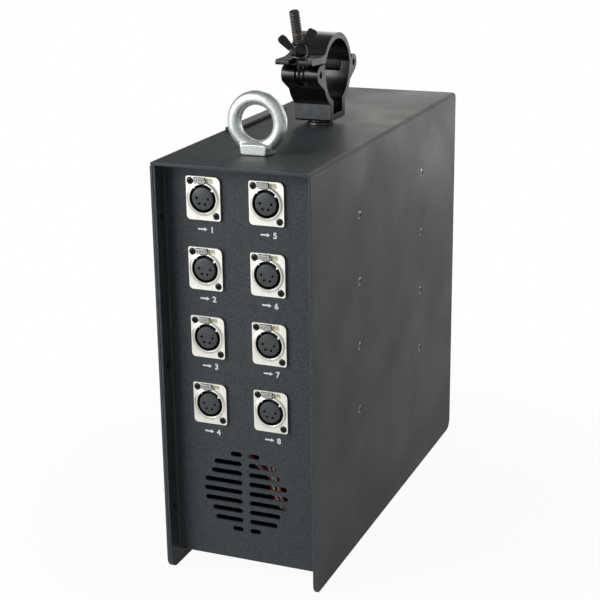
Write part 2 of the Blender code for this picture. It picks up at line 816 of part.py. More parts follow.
def rear_panel(material):
    panel = end_panel("rear_panel", material, PANEL_BACK, 1)
    openings = grille_outlines()
    openings += [circle(x, DATA_Z, PANEL_HOLE_RADIUS, SOCKET_ROUND) for x in DATA_COLUMNS]
    openings.append(rectangle(INLET_X, INLET_Z, INLET_BODY_WIDTH + 2 * SEAM, INLET_BODY_HEIGHT + 2 * SEAM))
    openings.append(rectangle(SWITCH_X, SWITCH_Z, *switch_opening()))
    openings.append(rectangle(0, DISPLAY_Z, *display_opening()))
    openings += [circle(x, BUTTON_Z, BUTTON_RADIUS + BUTTON_CLEARANCE, SMALL_ROUND) for x in button_columns()]
    cutter = plate(
        "rear_openings", openings, FACING_Y, PANEL_BACK - PANEL_SHEET - OVERSHOOT, PANEL_BACK + OVERSHOOT,
        collection=cutters,
    )
    cut(panel, cutter)
    return panel


def button_columns():
    return [(i - (BUTTONS - 1) / 2) * BUTTON_PITCH for i in range(BUTTONS)]


def switch_opening():
    return (SWITCH_WIDTH - 2 * SWITCH_RIM, SWITCH_HEIGHT - 2 * SWITCH_RIM)


def display_opening():
    return (DISPLAY_WIDTH - 2 * DISPLAY_SIDE_RIM, DISPLAY_HEIGHT - 2 * DISPLAY_RIM)


def flange_outline():
    """The socket flange seen from the front; its corners differ."""
    return rounded_rectangle(0, 0, FLANGE_WIDTH, FLANGE_HEIGHT, (0.004, 0.0015, 0.003, 0.0018), 4)


def socket_shell_mesh():
    """Flange, raised boss and barrel, about a socket's centre on the panel's front face."""
    flange = plate("shell", [flange_outline()], FACING_Y, -SEAM - FLANGE_SHEET, -SEAM)
    boss_front = -SEAM - FLANGE_SHEET - BOSS_HEIGHT
    end = -SEAM + BARREL_LENGTH
    profile = [
        (0, boss_front),
        (BOSS_RIM_RADIUS, boss_front),
        (BOSS_FOOT_RADIUS, -SEAM - FLANGE_SHEET),
        (BOSS_FOOT_RADIUS, -SEAM - FLANGE_SHEET / 2),
        (BARREL_RADIUS, -SEAM - FLANGE_SHEET / 2),
        (BARREL_RADIUS, end),
        (0, end),
    ]
    hollow = [
        (0, boss_front - OVERSHOOT),
        (BORE_RADIUS, boss_front - OVERSHOOT),
        (BORE_RADIUS, end - BARREL_BACK_WALL),
        (INSERT_TAIL_RADIUS + SEAM, end - BARREL_BACK_WALL),
        (INSERT_TAIL_RADIUS + SEAM, end + OVERSHOOT),
        (0, end + OVERSHOOT),
    ]
    along_y = Matrix.Rotation(math.radians(-90), 4, "X")
    barrel = turned("barrel", profile, along_y, collection=cutters, count=SOCKET_ROUND, closed=False)
    bore = turned("bore", hollow, along_y, collection=cutters, count=SOCKET_ROUND, closed=False)
    pocket = panel_block(
        "pocket",
        LATCH_LEFT + LATCH_WIDTH / 2, LATCH_BOTTOM + LATCH_HEIGHT / 2,
        LATCH_WIDTH + 2 * LATCH_CLEARANCE, LATCH_HEIGHT + 2 * LATCH_CLEARANCE,
        boss_front - OVERSHOOT, -SEAM / 2,
    )
    join(flange, barrel)
    cut(flange, bore, pocket)
    for name, side in (("upper_screw", -1), ("lower_screw", 1)):
        place = Matrix.Translation((side * FLANGE_SCREW_X, 0, -side * FLANGE_SCREW_Z)) @ along_y
        front = -SEAM - FLANGE_SHEET
        recess = rod(
            name, SCREW_RECESS_RADIUS, front - OVERSHOOT, front + SCREW_RECESS_DEPTH, place,
            collection=cutters, count=SMALL_ROUND,
        )
        cut(flange, recess)
    settle(flange)
    mesh = flange.data
    bpy.data.objects.remove(flange)
    return mesh


def socket_insert_mesh():
    """The contact carrier inside the barrel, with its four contact holes."""
    front = -SEAM - FLANGE_SHEET - BOSS_HEIGHT
    collar_end = -SEAM + BARREL_LENGTH - BARREL_BACK_WALL - SEAM
    profile = [
        (0, front),
        (INSERT_RADIUS, front),
        (INSERT_RADIUS, collar_end - INSERT_COLLAR),
        (BORE_RADIUS - SEAM, collar_end - INSERT_COLLAR),
        (BORE_RADIUS - SEAM, collar_end),
        (INSERT_TAIL_RADIUS, collar_end),
        (INSERT_TAIL_RADIUS, collar_end + INSERT_TAIL),
        (0, collar_end + INSERT_TAIL),
    ]
    along_y = Matrix.Rotation(math.radians(-90), 4, "X")
    insert = turned("insert", profile, along_y, count=SOCKET_ROUND, closed=False)
    middles = [on_circle(0, 0, CONTACT_CIRCLE, angle) for angle in CONTACT_ANGLES]
    holes = [circle(x, z, CONTACT_RADIUS, TINY_ROUND) for x, z in middles]
    contacts = plate("contacts", holes, FACING_Y, front - OVERSHOOT, front + CONTACT_DEPTH, None, cutters)
    cut(insert, contacts)
    settle(insert)
    mesh = insert.data
    bpy.data.objects.remove(insert)
    return mesh


def socket_latch_mesh():
    """The push tab in the flange's top edge and the stem behind it."""
    right = LATCH_LEFT + LATCH_WIDTH
    top = LATCH_BOTTOM + LATCH_HEIGHT
    face = -SEAM - FLANGE_SHEET - LATCH_PROUD
    tab = block("tab", (LATCH_LEFT, face, LATCH_BOTTOM), (right, face + LATCH_TAB, top), edge=LATCH_EDGE)
    stem = block(
        "stem",
        (LATCH_LEFT + LATCH_SHOULDER, face + LATCH_TAB / 2, BARREL_RADIUS + 2 * LATCH_CLEARANCE),
        (right - LATCH_SHOULDER, LATCH_STEM, top - LATCH_CLEARANCE),
        collection=cutters,
    )
    join(tab, stem)
    settle(tab)
    mesh = tab.data
    bpy.data.objects.remove(tab)
    return mesh


def output_sockets(shell_material, insert_material, latch_material):
    pieces = (
        ("output_shell", socket_shell_mesh(), shell_material),
        ("output_insert", socket_insert_mesh(), insert_material),
        ("output_latch", socket_latch_mesh(), latch_material),
    )
    for name, mesh, material in pieces:
        mesh.name = name
        mesh.materials.clear()
        mesh.materials.append(material)
        for number, (x, z) in enumerate(socket_centres(), 1):
            copy = bpy.data.objects.new(f"{name}_{number}", mesh)
            copy.location = (x, PANEL_FRONT, z)
            parts.objects.link(copy)


def lifting_eye(material):
    """Ring, collar and threaded shank in one forging, the ring in line with the front."""
    base = TOP + SEAM
    place = Matrix.Translation((0, EYE_Y, TOP))
    ring_profile = [
        (EYE_RING_RADIUS + EYE_STOCK_RADIUS * math.cos(a), EYE_STOCK_RADIUS * math.sin(a))
        for a in (math.tau * i / 10 for i in range(10))
    ]
    upright = Matrix.Translation((0, EYE_Y, TOP + EYE_CENTRE_HEIGHT)) @ FACING_Y
    ring = turned("lifting_eye_ring", ring_profile, upright, collection=cutters)
    profile = [
        (0, -EYE_SHANK),
        (EYE_SHANK_RADIUS, -EYE_SHANK),
        (EYE_SHANK_RADIUS, base - TOP),
        (EYE_COLLAR_RADIUS - 0.0006, base - TOP),
        (EYE_COLLAR_RADIUS, base - TOP + 0.0006),
        (EYE_COLLAR_RADIUS + 0.0006, EYE_COLLAR_HEIGHT - 0.0012),
        (EYE_COLLAR_RADIUS - 0.0006, EYE_COLLAR_HEIGHT),
        (0, EYE_COLLAR_HEIGHT + 0.0006),
    ]
    eye = turned("lifting_eye", profile, place, material, count=24, closed=False)
    reach = EYE_COLLAR_RADIUS + OVERSHOOT
    hole = rod("eye_hole", EYE_RING_RADIUS - EYE_STOCK_RADIUS, -reach, reach, upright, collection=cutters)
    cut(eye, hole)
    join(eye, ring)
    return eye


def clamp_outline(points):
    """Clamp profiles are given from the clamp's middle and the top of the box."""
    return [(CLAMP_Y + y, TOP + z) for y, z in points]


def ellipse(centre, half, rise, start, end, count):
    angles = [math.radians(start + (end - start) * i / count) for i in range(count + 1)]
    return [(half * math.cos(a), centre + rise * math.sin(a)) for a in angles]


def pin_hole(name, y, width):
    place = Matrix.Translation((0, CLAMP_Y + y, TOP + PIN_HEIGHT)) @ Matrix.Rotation(math.radians(90), 4, "Y")
    return rod(name, PIN_RADIUS + PIN_CLEARANCE, -width, width, place, collection=cutters, count=SMALL_ROUND)


def clamp_body(material):
    """The lower half of the clamp: base block with a channel, cradle, and a knuckle at each side."""
    half = CLAMP_WIDTH / 2
    base_angle = math.degrees(math.acos(CLAMP_BASE_HALF / CRADLE_OUTER))
    edge = CLAMP_BASE_EDGE
    outline = arc(-CLAMP_BASE_HALF + edge, CLAMP_BASE_LOW + edge, edge, 270, 180, 4)
    outline += arc(0, TUBE_CENTRE, CRADLE_OUTER, 180 + base_angle, 205, 8)
    outline += arc(-PIN_SPACING_HALF, PIN_HEIGHT, KNUCKLE_RADIUS, 235, 90, 12)
    outline += [(-CRADLE_MOUTH_HALF, CRADLE_TOP)]
    outline += [(-CRADLE_MOUTH_HALF, TUBE_CENTRE)]
    channel_angle = math.degrees(math.acos(CHANNEL_HALF / CRADLE_RADIUS))
    outline += arc(0, TUBE_CENTRE, CRADLE_RADIUS, 195, 180 + channel_angle, 8)
    outline += [(-CHANNEL_HALF, CHANNEL_FLOOR), (CHANNEL_HALF, CHANNEL_FLOOR)]
    outline += arc(0, TUBE_CENTRE, CRADLE_RADIUS, 360 - channel_angle, 345, 8)
    seat = JAW_REAR_LOW - SEAM
    lug_start = 180 - math.degrees(math.asin((seat - PIN_HEIGHT) / KNUCKLE_RADIUS))
    outline += [(CRADLE_MOUTH_HALF, TUBE_CENTRE), (CRADLE_MOUTH_HALF, seat)]
    outline += arc(PIN_SPACING_HALF, PIN_HEIGHT, KNUCKLE_RADIUS, lug_start, -55, 18)
    outline += arc(0, TUBE_CENTRE, CRADLE_OUTER, 335, 360 - base_angle, 8)
    outline += arc(CLAMP_BASE_HALF - edge, CLAMP_BASE_LOW + edge, edge, 360, 270, 4)
    body = plate("clamp_body", [clamp_outline(outline)], FACING_X, -half, half, material)
    slot_half = BOLT_EYE_HALF + BOLT_EYE_CLEARANCE
    bolt_slot = block(
        "bolt_slot",
        (-slot_half, CLAMP_Y - PIN_SPACING_HALF - 0.012, TOP + PIN_HEIGHT - 0.0085),
        (slot_half, CLAMP_Y - CRADLE_MOUTH_HALF + OVERSHOOT, TOP + CRADLE_TOP + OVERSHOOT),
        collection=cutters,
    )
    tongue_half = TONGUE_HALF + TONGUE_CLEARANCE
    seat_radius = KNUCKLE_RADIUS + TONGUE_CLEARANCE
    floor_angle = math.degrees(math.asin((PIN_HEIGHT - TONGUE_FLOOR) / seat_radius))
    slot_outline = [(CRADLE_MOUTH_HALF - 0.004, TONGUE_FLOOR)]
    slot_outline += arc(PIN_SPACING_HALF, PIN_HEIGHT, seat_radius, floor_angle - 180, 90, 20)
    slot_outline += [(CRADLE_MOUTH_HALF - 0.004, PIN_HEIGHT + seat_radius)]
    tongue_slot = plate(
        "tongue_slot", [clamp_outline(slot_outline)], FACING_X, -tongue_half, tongue_half, None, cutters
    )
    middle = Matrix.Translation((0, CLAMP_Y, TOP))
    bolt_hole = rod(
        "mount_bolt_hole", MOUNT_BOLT_RADIUS + MOUNT_BOLT_CLEARANCE, 0, CHANNEL_FLOOR + OVERSHOOT, middle,
        collection=cutters,
    )
    cut(body, bolt_slot, tongue_slot, bolt_hole)
    cut(body, pin_hole("front_pin_hole", -PIN_SPACING_HALF, half + OVERSHOOT))
    cut(body, pin_hole("rear_pin_hole", PIN_SPACING_HALF, half + OVERSHOOT))
    return body


def clamp_jaw(material):
    """The upper half: an arch with a slotted flange in front and a hinge tongue behind."""
    half = CLAMP_WIDTH / 2
    low_inner = math.degrees(math.asin((JAW_LOW - JAW_CENTRE) / JAW_INNER_RISE))
    rear_inner = math.degrees(math.asin((JAW_REAR_LOW - JAW_CENTRE) / JAW_INNER_RISE))
    rear_outer = math.degrees(math.asin((JAW_REAR_LOW - JAW_CENTRE) / JAW_OUTER_RISE))
    flange_top = JAW_FLANGE_LOW + JAW_FLANGE_SHEET
    meet = math.degrees(math.asin((flange_top + 0.0015 - JAW_CENTRE) / JAW_OUTER_RISE))
    outline = ellipse(JAW_CENTRE, JAW_OUTER_HALF, JAW_OUTER_RISE, rear_outer, 180 - meet, 20)
    tip = JAW_FLANGE_TIP
    outline += [(-JAW_OUTER_HALF - 0.003, flange_top)]
    outline += arc(-tip + 0.001, flange_top - 0.001, 0.001, 90, 180, 3)
    outline += arc(-tip + 0.001, JAW_FLANGE_LOW + 0.001, 0.001, 180, 270, 3)
    outline += [(-JAW_OUTER_HALF, JAW_LOW + 0.0006)]
    outline += ellipse(JAW_CENTRE, JAW_INNER_HALF, JAW_INNER_RISE, 180 - low_inner, rear_inner, 20)
    jaw = plate("clamp_jaw", [clamp_outline(outline)], FACING_X, -half, half, material)
    tongue_low = TONGUE_FLOOR + SEAM
    barrel_angle = math.degrees(math.asin((PIN_HEIGHT - tongue_low) / KNUCKLE_RADIUS))
    tongue = arc(PIN_SPACING_HALF, PIN_HEIGHT, KNUCKLE_RADIUS, barrel_angle - 180, 60, 18)
    tongue += [(JAW_OUTER_HALF - 0.002, JAW_LOW + 0.004), (JAW_INNER_HALF + 0.0004, JAW_LOW)]
    tongue += [(JAW_INNER_HALF + 0.0002, PIN_HEIGHT - 0.0015), (JAW_INNER_HALF + 0.0008, tongue_low + 0.001)]
    tongue += [(JAW_INNER_HALF + 0.0018, tongue_low)]
    knuckle = plate("jaw_tongue", [clamp_outline(tongue)], FACING_X, -TONGUE_HALF, TONGUE_HALF, None, cutters)
    bolt_slot = block(
        "jaw_slot",
        (-JAW_SLOT_HALF, CLAMP_Y - tip - OVERSHOOT, TOP + JAW_FLANGE_LOW - OVERSHOOT),
        (JAW_SLOT_HALF, CLAMP_Y - JAW_SLOT_END, TOP + JAW_FLANGE_LOW + 0.008),
        collection=cutters,
    )
    relief = []
    for name, side in (("left_lug_relief", -1), ("right_lug_relief", 1)):
        ends = sorted((side * (TONGUE_HALF + TONGUE_CLEARANCE / 2), side * (half + OVERSHOOT)))
        lug = circle(PIN_SPACING_HALF, PIN_HEIGHT, KNUCKLE_RADIUS + SEAM, ROUND)
        relief.append(plate(name, [clamp_outline(lug)], FACING_X, *ends, None, cutters))
    cut(jaw, *relief)
    join(jaw, knuckle)
    cut(jaw, bolt_slot, pin_hole("jaw_pin_hole", PIN_SPACING_HALF, half))
    move_origin(jaw, (0, CLAMP_Y + PIN_SPACING_HALF, TOP + PIN_HEIGHT))
    return jaw


def hinge_pin(name, y, material):
    place = Matrix.Translation((0, CLAMP_Y + y, TOP + PIN_HEIGHT)) @ Matrix.Rotation(math.radians(90), 4, "Y")
    reach = CLAMP_WIDTH / 2 - 0.0008
    return rod(name, PIN_RADIUS, -reach, reach, place, material, count=SMALL_ROUND)


def bolt_place():
    """The frame of the swing bolt: local Z runs up the bolt from the middle of its pin."""
    pin = Matrix.Translation((0, CLAMP_Y - PIN_SPACING_HALF, TOP + PIN_HEIGHT))
    return pin @ Matrix.Rotation(BOLT_LEAN, 4, "X")


def swing_bolt(material):
    """An eye bolt on the front pin that leans forward through the jaw's slot."""
    place = bolt_place()
    bolt = rod("swing_bolt", BOLT_RADIUS, 0.004, BOLT_LENGTH - 0.0006, place, material, count=20)
    across = place @ Matrix.Rotation(math.radians(90), 4, "Y")
    profile = tube_profile(PIN_RADIUS + PIN_CLEARANCE, BOLT_EYE_RADIUS, -BOLT_EYE_HALF, BOLT_EYE_HALF)
    eye = turned("bolt_eye", profile, across, collection=cutters, count=24)
    join(bolt, eye)
    move_origin(bolt, place.translation)
    return bolt


def wing_washer(material):
    place = bolt_place() @ Matrix.Translation((0, 0, NUT_SEAT))
    inner = BOLT_RADIUS + NUT_BORE_CLEARANCE
    return turned(
        "wing_washer", tube_profile(inner, NUT_WASHER_RADIUS, 0, NUT_WASHER), place, material, count=24
    )


def wing_nut(material):
    """A hub with two raised wings."""
    place = bolt_place() @ Matrix.Translation((0, 0, NUT_SEAT + NUT_WASHER + SEAM))
    place = place @ Matrix.Rotation(NUT_TURN, 4, "Z")
    inner = BOLT_RADIUS + NUT_BORE_CLEARANCE
    profile = [
        (0, 0),
        (NUT_HUB_RADIUS, 0),
        (NUT_HUB_RADIUS, 0.002),
        (NUT_HUB_TOP_RADIUS, NUT_HUB - 0.0008),
        (NUT_HUB_TOP_RADIUS - 0.0008, NUT_HUB),
        (0, NUT_HUB),
    ]
    nut = turned("wing_nut", profile, place, material, count=24, closed=False)
    for name, side in (("left_wing", -1), ("right_wing", 1)):
        along = Vector((math.cos(WING_LEAN), math.sin(WING_LEAN)))
        across = Vector((-along.y, along.x))
        end = Vector((WING_REACH, WING_RISE))
        start = end - along * 0.0135
        round_end = 0.002
        outline = [start + across * WING_WIDTH * 0.40, start - across * WING_WIDTH * 0.40]
        for sign in (-1, 1):
            centre = end - along * round_end + across * sign * (WING_WIDTH / 2 - round_end)
            first = -90 if sign < 0 else 0
            for step in range(5):
                turn = math.radians(first + 90 * step / 4)
                around = along * math.cos(turn) + across * math.sin(turn)
                outline.append(centre + around * round_end)
        points = [(side * p[0], p[1]) for p in outline]
        wing = plate(name, [points], FACING_Y, -WING_SHEET / 2, WING_SHEET / 2, collection=cutters)
        wing.data.transform(place)
        join(nut, wing)
    bore = rod("nut_bore", inner, -OVERSHOOT, 0.03, place, collection=cutters, count=24)
    cut(nut, bore)
    return nut


def clamp_bolt(material):
    """Hexagon head bolt through the clamp's channel into the box's bush."""
    place = Matrix.Translation((0, CLAMP_Y, TOP))
    high = CHANNEL_FLOOR + MOUNT_HEAD / 2
    bolt = rod("clamp_bolt", MOUNT_BOLT_RADIUS, -MOUNT_BOLT_BELOW, high, place, material, count=24)
    low = TOP + CHANNEL_FLOOR + SEAM
    hexagon = circle(0, CLAMP_Y, MOUNT_HEAD_RADIUS, 6)
    head = plate("bolt_head", [hexagon], FACING_Z, low, low + MOUNT_HEAD, None, cutters)
    join(bolt, head)
    return bolt


def clamp_washers(material):
    place = Matrix.Translation((0, CLAMP_Y, TOP + SEAM))
    inner = MOUNT_BOLT_RADIUS + SEAM
    turned("clamp_washer", tube_profile(inner, FLAT_WASHER_RADIUS, 0, FLAT_WASHER), place, material)
    place = Matrix.Translation((0, CLAMP_Y, TOP + SEAM + FLAT_WASHER + SEAM))
    spring = turned(
        "clamp_spring_washer", tube_profile(inner, SPRING_WASHER_RADIUS, 0, SPRING_WASHER), place, material
    )
    split = block(
        "washer_split",
        (-SPRING_WASHER_SPLIT / 2, CLAMP_Y - FLAT_WASHER_RADIUS, TOP),
        (SPRING_WASHER_SPLIT / 2, CLAMP_Y, TOP + CLAMP_BASE_LOW),
        collection=cutters,
    )
    cut(spring, split)


def top_strip(material):
    low = (STRIP_X - STRIP_WIDTH / 2, STRIP_Y - STRIP_LENGTH / 2, TOP + SEAM)
    high = (STRIP_X + STRIP_WIDTH / 2, STRIP_Y + STRIP_LENGTH / 2, TOP + SEAM + STRIP_HEIGHT)
    return block("top_strip", low, high, material, edge=STRIP_EDGE)


def power_supply(name, centre, material):
    """An enclosed supply with an open terminal ledge at its front end."""
    right = RIGHT_INNER - SEAM
    left = right - SUPPLY_THICKNESS
    low = centre - SUPPLY_HEIGHT / 2
    high = centre + SUPPLY_HEIGHT / 2
    front = -SUPPLY_LENGTH / 2
    case = block(name, (left, front, low), (right, -front, high), material)
    ledge = block(
        name + "_ledge",
        (left - OVERSHOOT, front - OVERSHOOT, low - OVERSHOOT),
        (left + SUPPLY_TERMINAL_DROP, front + SUPPLY_TERMINAL_DEPTH, high + OVERSHOOT),
        collection=cutters,
    )
    cut(case, ledge)
    ledge_x = left + SUPPLY_TERMINAL_DROP
    ledge_back = front + SUPPLY_TERMINAL_DEPTH
    for i in range(SUPPLY_TERMINALS):
        z = low + SUPPLY_HEIGHT * (i + 0.75) / (SUPPLY_TERMINALS + 0.5)
        terminal = block(
            f"{name}_terminal_{i}",
            (ledge_x - SUPPLY_TERMINAL_ROOT, front + SUPPLY_TERMINAL_FRONT, z - SUPPLY_TERMINAL_HALF),
            (ledge_x + SUPPLY_TERMINAL_LIFT, ledge_back - SUPPLY_TERMINAL_BACK, z + SUPPLY_TERMINAL_HALF),
            collection=cutters,
        )
        join(case, terminal)
    return case


def driver_board(material):
    """The board that turns data into pixel signals, on four posts, with its terminals and chips."""
    half_width = BOARD_WIDTH / 2
    half_length = BOARD_LENGTH / 2
    board = block(
        "driver_board", (-half_width, -half_length, BOARD_LOW), (half_width, half_length, BOARD_TOP), material
    )
    for i, (side, end) in enumerate(((-1, -1), (-1, 1), (1, -1), (1, 1))):
        x = side * (half_width - BOARD_POST_INSET)
        y = end * (half_length - BOARD_POST_INSET)
        post = rod(
            f"board_post_{i}", BOARD_POST_RADIUS, 0, BOARD_POST + BOARD_SHEET / 2,
            Matrix.Translation((x, y, FLOOR_TOP + SEAM)), collection=cutters, count=SMALL_ROUND,
        )
        join(board, post)
    fittings = [
        (CAPACITOR_ROW * half_width, share * half_length, *CAPACITOR_SIZE) for share in CAPACITOR_SHARES
    ]
    fittings += [(x * half_width, y * half_length, *size) for x, y, *size in BOARD_CHIPS]
    middle = LEAD_TERMINAL_FRONT + LEAD_TERMINAL_LENGTH / 2
    size = (LEAD_TERMINAL_WIDTH, LEAD_TERMINAL_LENGTH, LEAD_TERMINAL_HEIGHT)
    fittings.append((LEAD_TERMINALS[1], middle, *size))
    for i, (x, y, width, length, height) in enumerate(fittings):
        piece = block(
            f"board_fitting_{i}",
            (x - width / 2, y - length / 2, BOARD_TOP - BOARD_SHEET / 2),
            (x + width / 2, y + length / 2, BOARD_TOP + height),
            collection=cutters,
        )
        join(board, piece)
    return board


def smooth_path(points, steps):
    """Points on a smooth curve through the given ones."""
    knots = [Vector(point) for point in points]
    knots = [2 * knots[0] - knots[1]] + knots + [2 * knots[-1] - knots[-2]]
    path = []
    for before, first, second, after in zip(knots, knots[1:], knots[2:], knots[3:]):
        for i in range(steps):
            t = i / steps
            path.append(
                0.5
                * (
                    2 * first
                    + (second - before) * t
                    + (2 * before - 5 * first + 4 * second - after) * t * t
                    + (3 * first - before - 3 * second + after) * t * t * t
                )
            )
    return path + [knots[-2]]


def pair_section():
    """Two round wires joined side by side, as one outline."""
    offset = LEAD_SPACING / 2
    meet = math.degrees(math.acos(offset / LEAD_RADIUS))
    right = arc(offset, 0, LEAD_RADIUS, meet - 180, 180 - meet, 6)
    left = arc(-offset, 0, LEAD_RADIUS, meet, 360 - meet, 6)
    return right + left[1:-1]


def lead_pair(name, points, material):
    """A flat two-wire lead along a smooth path; its flat side stays turned to the front."""
    path = smooth_path(points, LEAD_STEPS)
    section = pair_section()
    shape = bmesh.new()
    rings = []
    for i, place in enumerate(path):
        along = (path[min(i + 1, len(path) - 1)] - path[max(i - 1, 0)]).normalized()
        side = (Vector((1, 0, 0)) - along * along.x).normalized()
        facing = along.cross(side)
        rings.append([shape.verts.new(place + side * x + facing * y) for x, y in section])
    for first, second in zip(rings, rings[1:]):
        for i, corner in enumerate(first):
            after = (i + 1) % len(first)
            shape.faces.new((corner, first[after], second[after], second[i]))
    shape.faces.new(rings[0][::-1])
    shape.faces.new(rings[-1])
    bmesh.ops.recalc_face_normals(shape, faces=shape.faces)
    mesh = bpy.data.meshes.new(name)
    shape.to_mesh(mesh)
    shape.free()
    mesh.shade_smooth()
    mesh.set_sharp_from_angle(angle=math.radians(50))
    return link(bpy.data.objects.new(name, mesh), material)


def output_leads(material):
    """The three leads that show through the grille, from three sockets down to the board's terminals."""
    tail = PANEL_FRONT + INSERT_END + SEAM
    behind_grille = Vector((GRILLE_X, PANEL_FRONT + LEAD_DEPTH, GRILLE_Z))
    left, right = SOCKET_COLUMNS
    next_row = SOCKET_LOW_ROW + SOCKET_PITCH
    routes = (
        (left, SOCKET_LOW_ROW, LEAD_TERMINALS[1], LEAD_1_FROM_SOCKET, LEAD_1_IN_GRILLE, LEAD_1_TO_TERMINAL),
        (right, SOCKET_LOW_ROW, LEAD_TERMINALS[2], LEAD_2_FROM_SOCKET, LEAD_2_IN_GRILLE, LEAD_2_TO_TERMINAL),
        (left, next_row, LEAD_TERMINALS[0], LEAD_3_FROM_SOCKET, LEAD_3_IN_GRILLE, LEAD_3_TO_TERMINAL),
    )
    for number, (x, z, terminal_x, from_socket, in_grille, to_terminal) in enumerate(routes, 1):
        socket = Vector((x, tail, z))
        terminal = Vector((terminal_x, LEAD_TERMINAL_FRONT - SEAM, LEAD_TERMINAL_Z))
        points = [socket + Vector(step) for step in from_socket]
        points += [behind_grille + Vector(step) for step in in_grille]
        points += [terminal + Vector(step) for step in to_terminal]
        lead_pair(f"output_lead_{number}", points, material)


def fan_place():
    """Local Z runs out of the back from the fan's rear face."""
    rear = PANEL_BACK - PANEL_SHEET - SEAM
    return Matrix.Translation((GRILLE_X, rear, GRILLE_Z)) @ Matrix.Rotation(math.radians(-90), 4, "X")


def fan_frame(material):
    """A square frame with a round bore, and a hub on three arms that carries the rotor's shaft."""
    rear = PANEL_BACK - PANEL_SHEET - SEAM
    front = rear - FAN_THICKNESS
    outline = rounded_rectangle(GRILLE_X, GRILLE_Z, FAN_SIZE, FAN_SIZE, (FAN_CORNER,) * 4, 4)
    bore = circle(GRILLE_X, GRILLE_Z, FAN_BORE)
    frame = plate("fan_frame", [outline, bore], FACING_Y, front, rear, material)
    reach = FAN_BORE + FAN_WALL / 2
    half = FAN_ARM_WIDTH / 2
    spider = -FAN_THICKNESS + FAN_SPIDER
    for i in range(FAN_ARMS):
        turn = Matrix.Rotation(math.tau * (i + 0.25) / FAN_ARMS, 4, "Z")
        arm = block(f"fan_arm_{i}", (0, -half, -FAN_THICKNESS), (reach, half, spider), collection=cutters)
        arm.data.transform(fan_place() @ turn)
        join(frame, arm)
    place = fan_place()
    hub = rod("fan_hub", ROTOR_HUB_RADIUS, -FAN_THICKNESS, spider, place, collection=cutters, count=24)
    shaft_end = spider + ROTOR_DEPTH - ROTOR_CAP
    shaft_start = spider - FAN_SPIDER / 2
    shaft = rod("fan_shaft", FAN_SHAFT_RADIUS, shaft_start, shaft_end, place, collection=cutters, count=12)
    join(frame, hub, shaft)
    return frame


def fan_rotor(material):
    """A cup on the shaft with pitched blades."""
    place = fan_place()
    back = -FAN_THICKNESS + FAN_SPIDER + FAN_END_PLAY
    front = back + ROTOR_DEPTH
    profile = [
        (0, back),
        (ROTOR_HUB_RADIUS, back),
        (ROTOR_HUB_RADIUS, front - ROTOR_EDGE),
        (ROTOR_HUB_RADIUS - ROTOR_EDGE, front),
        (0, front),
    ]
    rotor = turned("fan_rotor", profile, place, material, count=28, closed=False)
    root = ROTOR_HUB_RADIUS - BLADE_SHEET
    half = Vector((BLADE_CHORD / 2, (ROTOR_RADIUS - root) / 2, BLADE_SHEET / 2))
    lift = Matrix.Translation((0, root + half.y, (back + front) / 2))
    tilt = Matrix.Rotation(BLADE_PITCH, 4, "Y")
    for i in range(ROTOR_BLADES):
        blade = block(f"blade_{i}", -half, half, collection=cutters)
        blade.data.transform(place @ Matrix.Rotation(math.tau * i / ROTOR_BLADES, 4, "Z") @ lift @ tilt)
        join(rotor, blade)
    radius = FAN_SHAFT_RADIUS + FAN_SHAFT_CLEARANCE
    bore_end = front - ROTOR_CAP / 2
    bore = rod("rotor_bore", radius, back - OVERSHOOT, bore_end, place, collection=cutters, count=12)
    cut(rotor, bore)
    settle(rotor)
    move_origin(rotor, place.translation)
    return rotor


def mains_inlet(material):
    """The mains inlet with a fuse drawer below it, in one moulding."""
    face = PANEL_BACK + SEAM
    flange = plate(
        "mains_inlet",
        [rounded_rectangle(INLET_X, INLET_Z, INLET_WIDTH, INLET_HEIGHT, (0.003,) * 4, 4)],
        FACING_Y, face, face + INLET_SHEET, material,
    )
    outer = face + INLET_SHEET
    body = panel_block(
        "inlet_body", INLET_X, INLET_Z, INLET_BODY_WIDTH, INLET_BODY_HEIGHT,
        face - INLET_BODY_DEPTH, outer - SEAM,
    )
    join(flange, body)
    half = INLET_WELL_WIDTH / 2
    low = WELL_Z - INLET_WELL_HEIGHT / 2
    high = WELL_Z + INLET_WELL_HEIGHT / 2
    well = [
        (INLET_X - half, low),
        (INLET_X + half, low),
        (INLET_X + half, high - INLET_WELL_CORNER),
        (INLET_X + half - INLET_WELL_CORNER, high),
        (INLET_X - half + INLET_WELL_CORNER, high),
        (INLET_X - half, high - INLET_WELL_CORNER),
    ]
    bottom = outer - INLET_WELL_DEPTH
    hollow = plate("inlet_well", [well], FACING_Y, bottom, outer + OVERSHOOT, None, cutters)
    drawer_well = panel_block(
        "drawer_well", INLET_X, DRAWER_Z,
        DRAWER_WIDTH + 2 * DRAWER_CLEARANCE, DRAWER_HEIGHT + 2 * DRAWER_CLEARANCE,
        outer - DRAWER_DEPTH - DRAWER_CLEARANCE, outer + OVERSHOOT,
    )
    cut(flange, hollow, drawer_well)
    width, length, height = INLET_BLADE
    for i, (x, z) in enumerate(INLET_BLADE_PLACES):
        pin = panel_block(
            f"inlet_pin_{i}", INLET_X + x, WELL_Z + z, width, height, bottom - width / 2, bottom + length
        )
        join(flange, pin)
    return flange


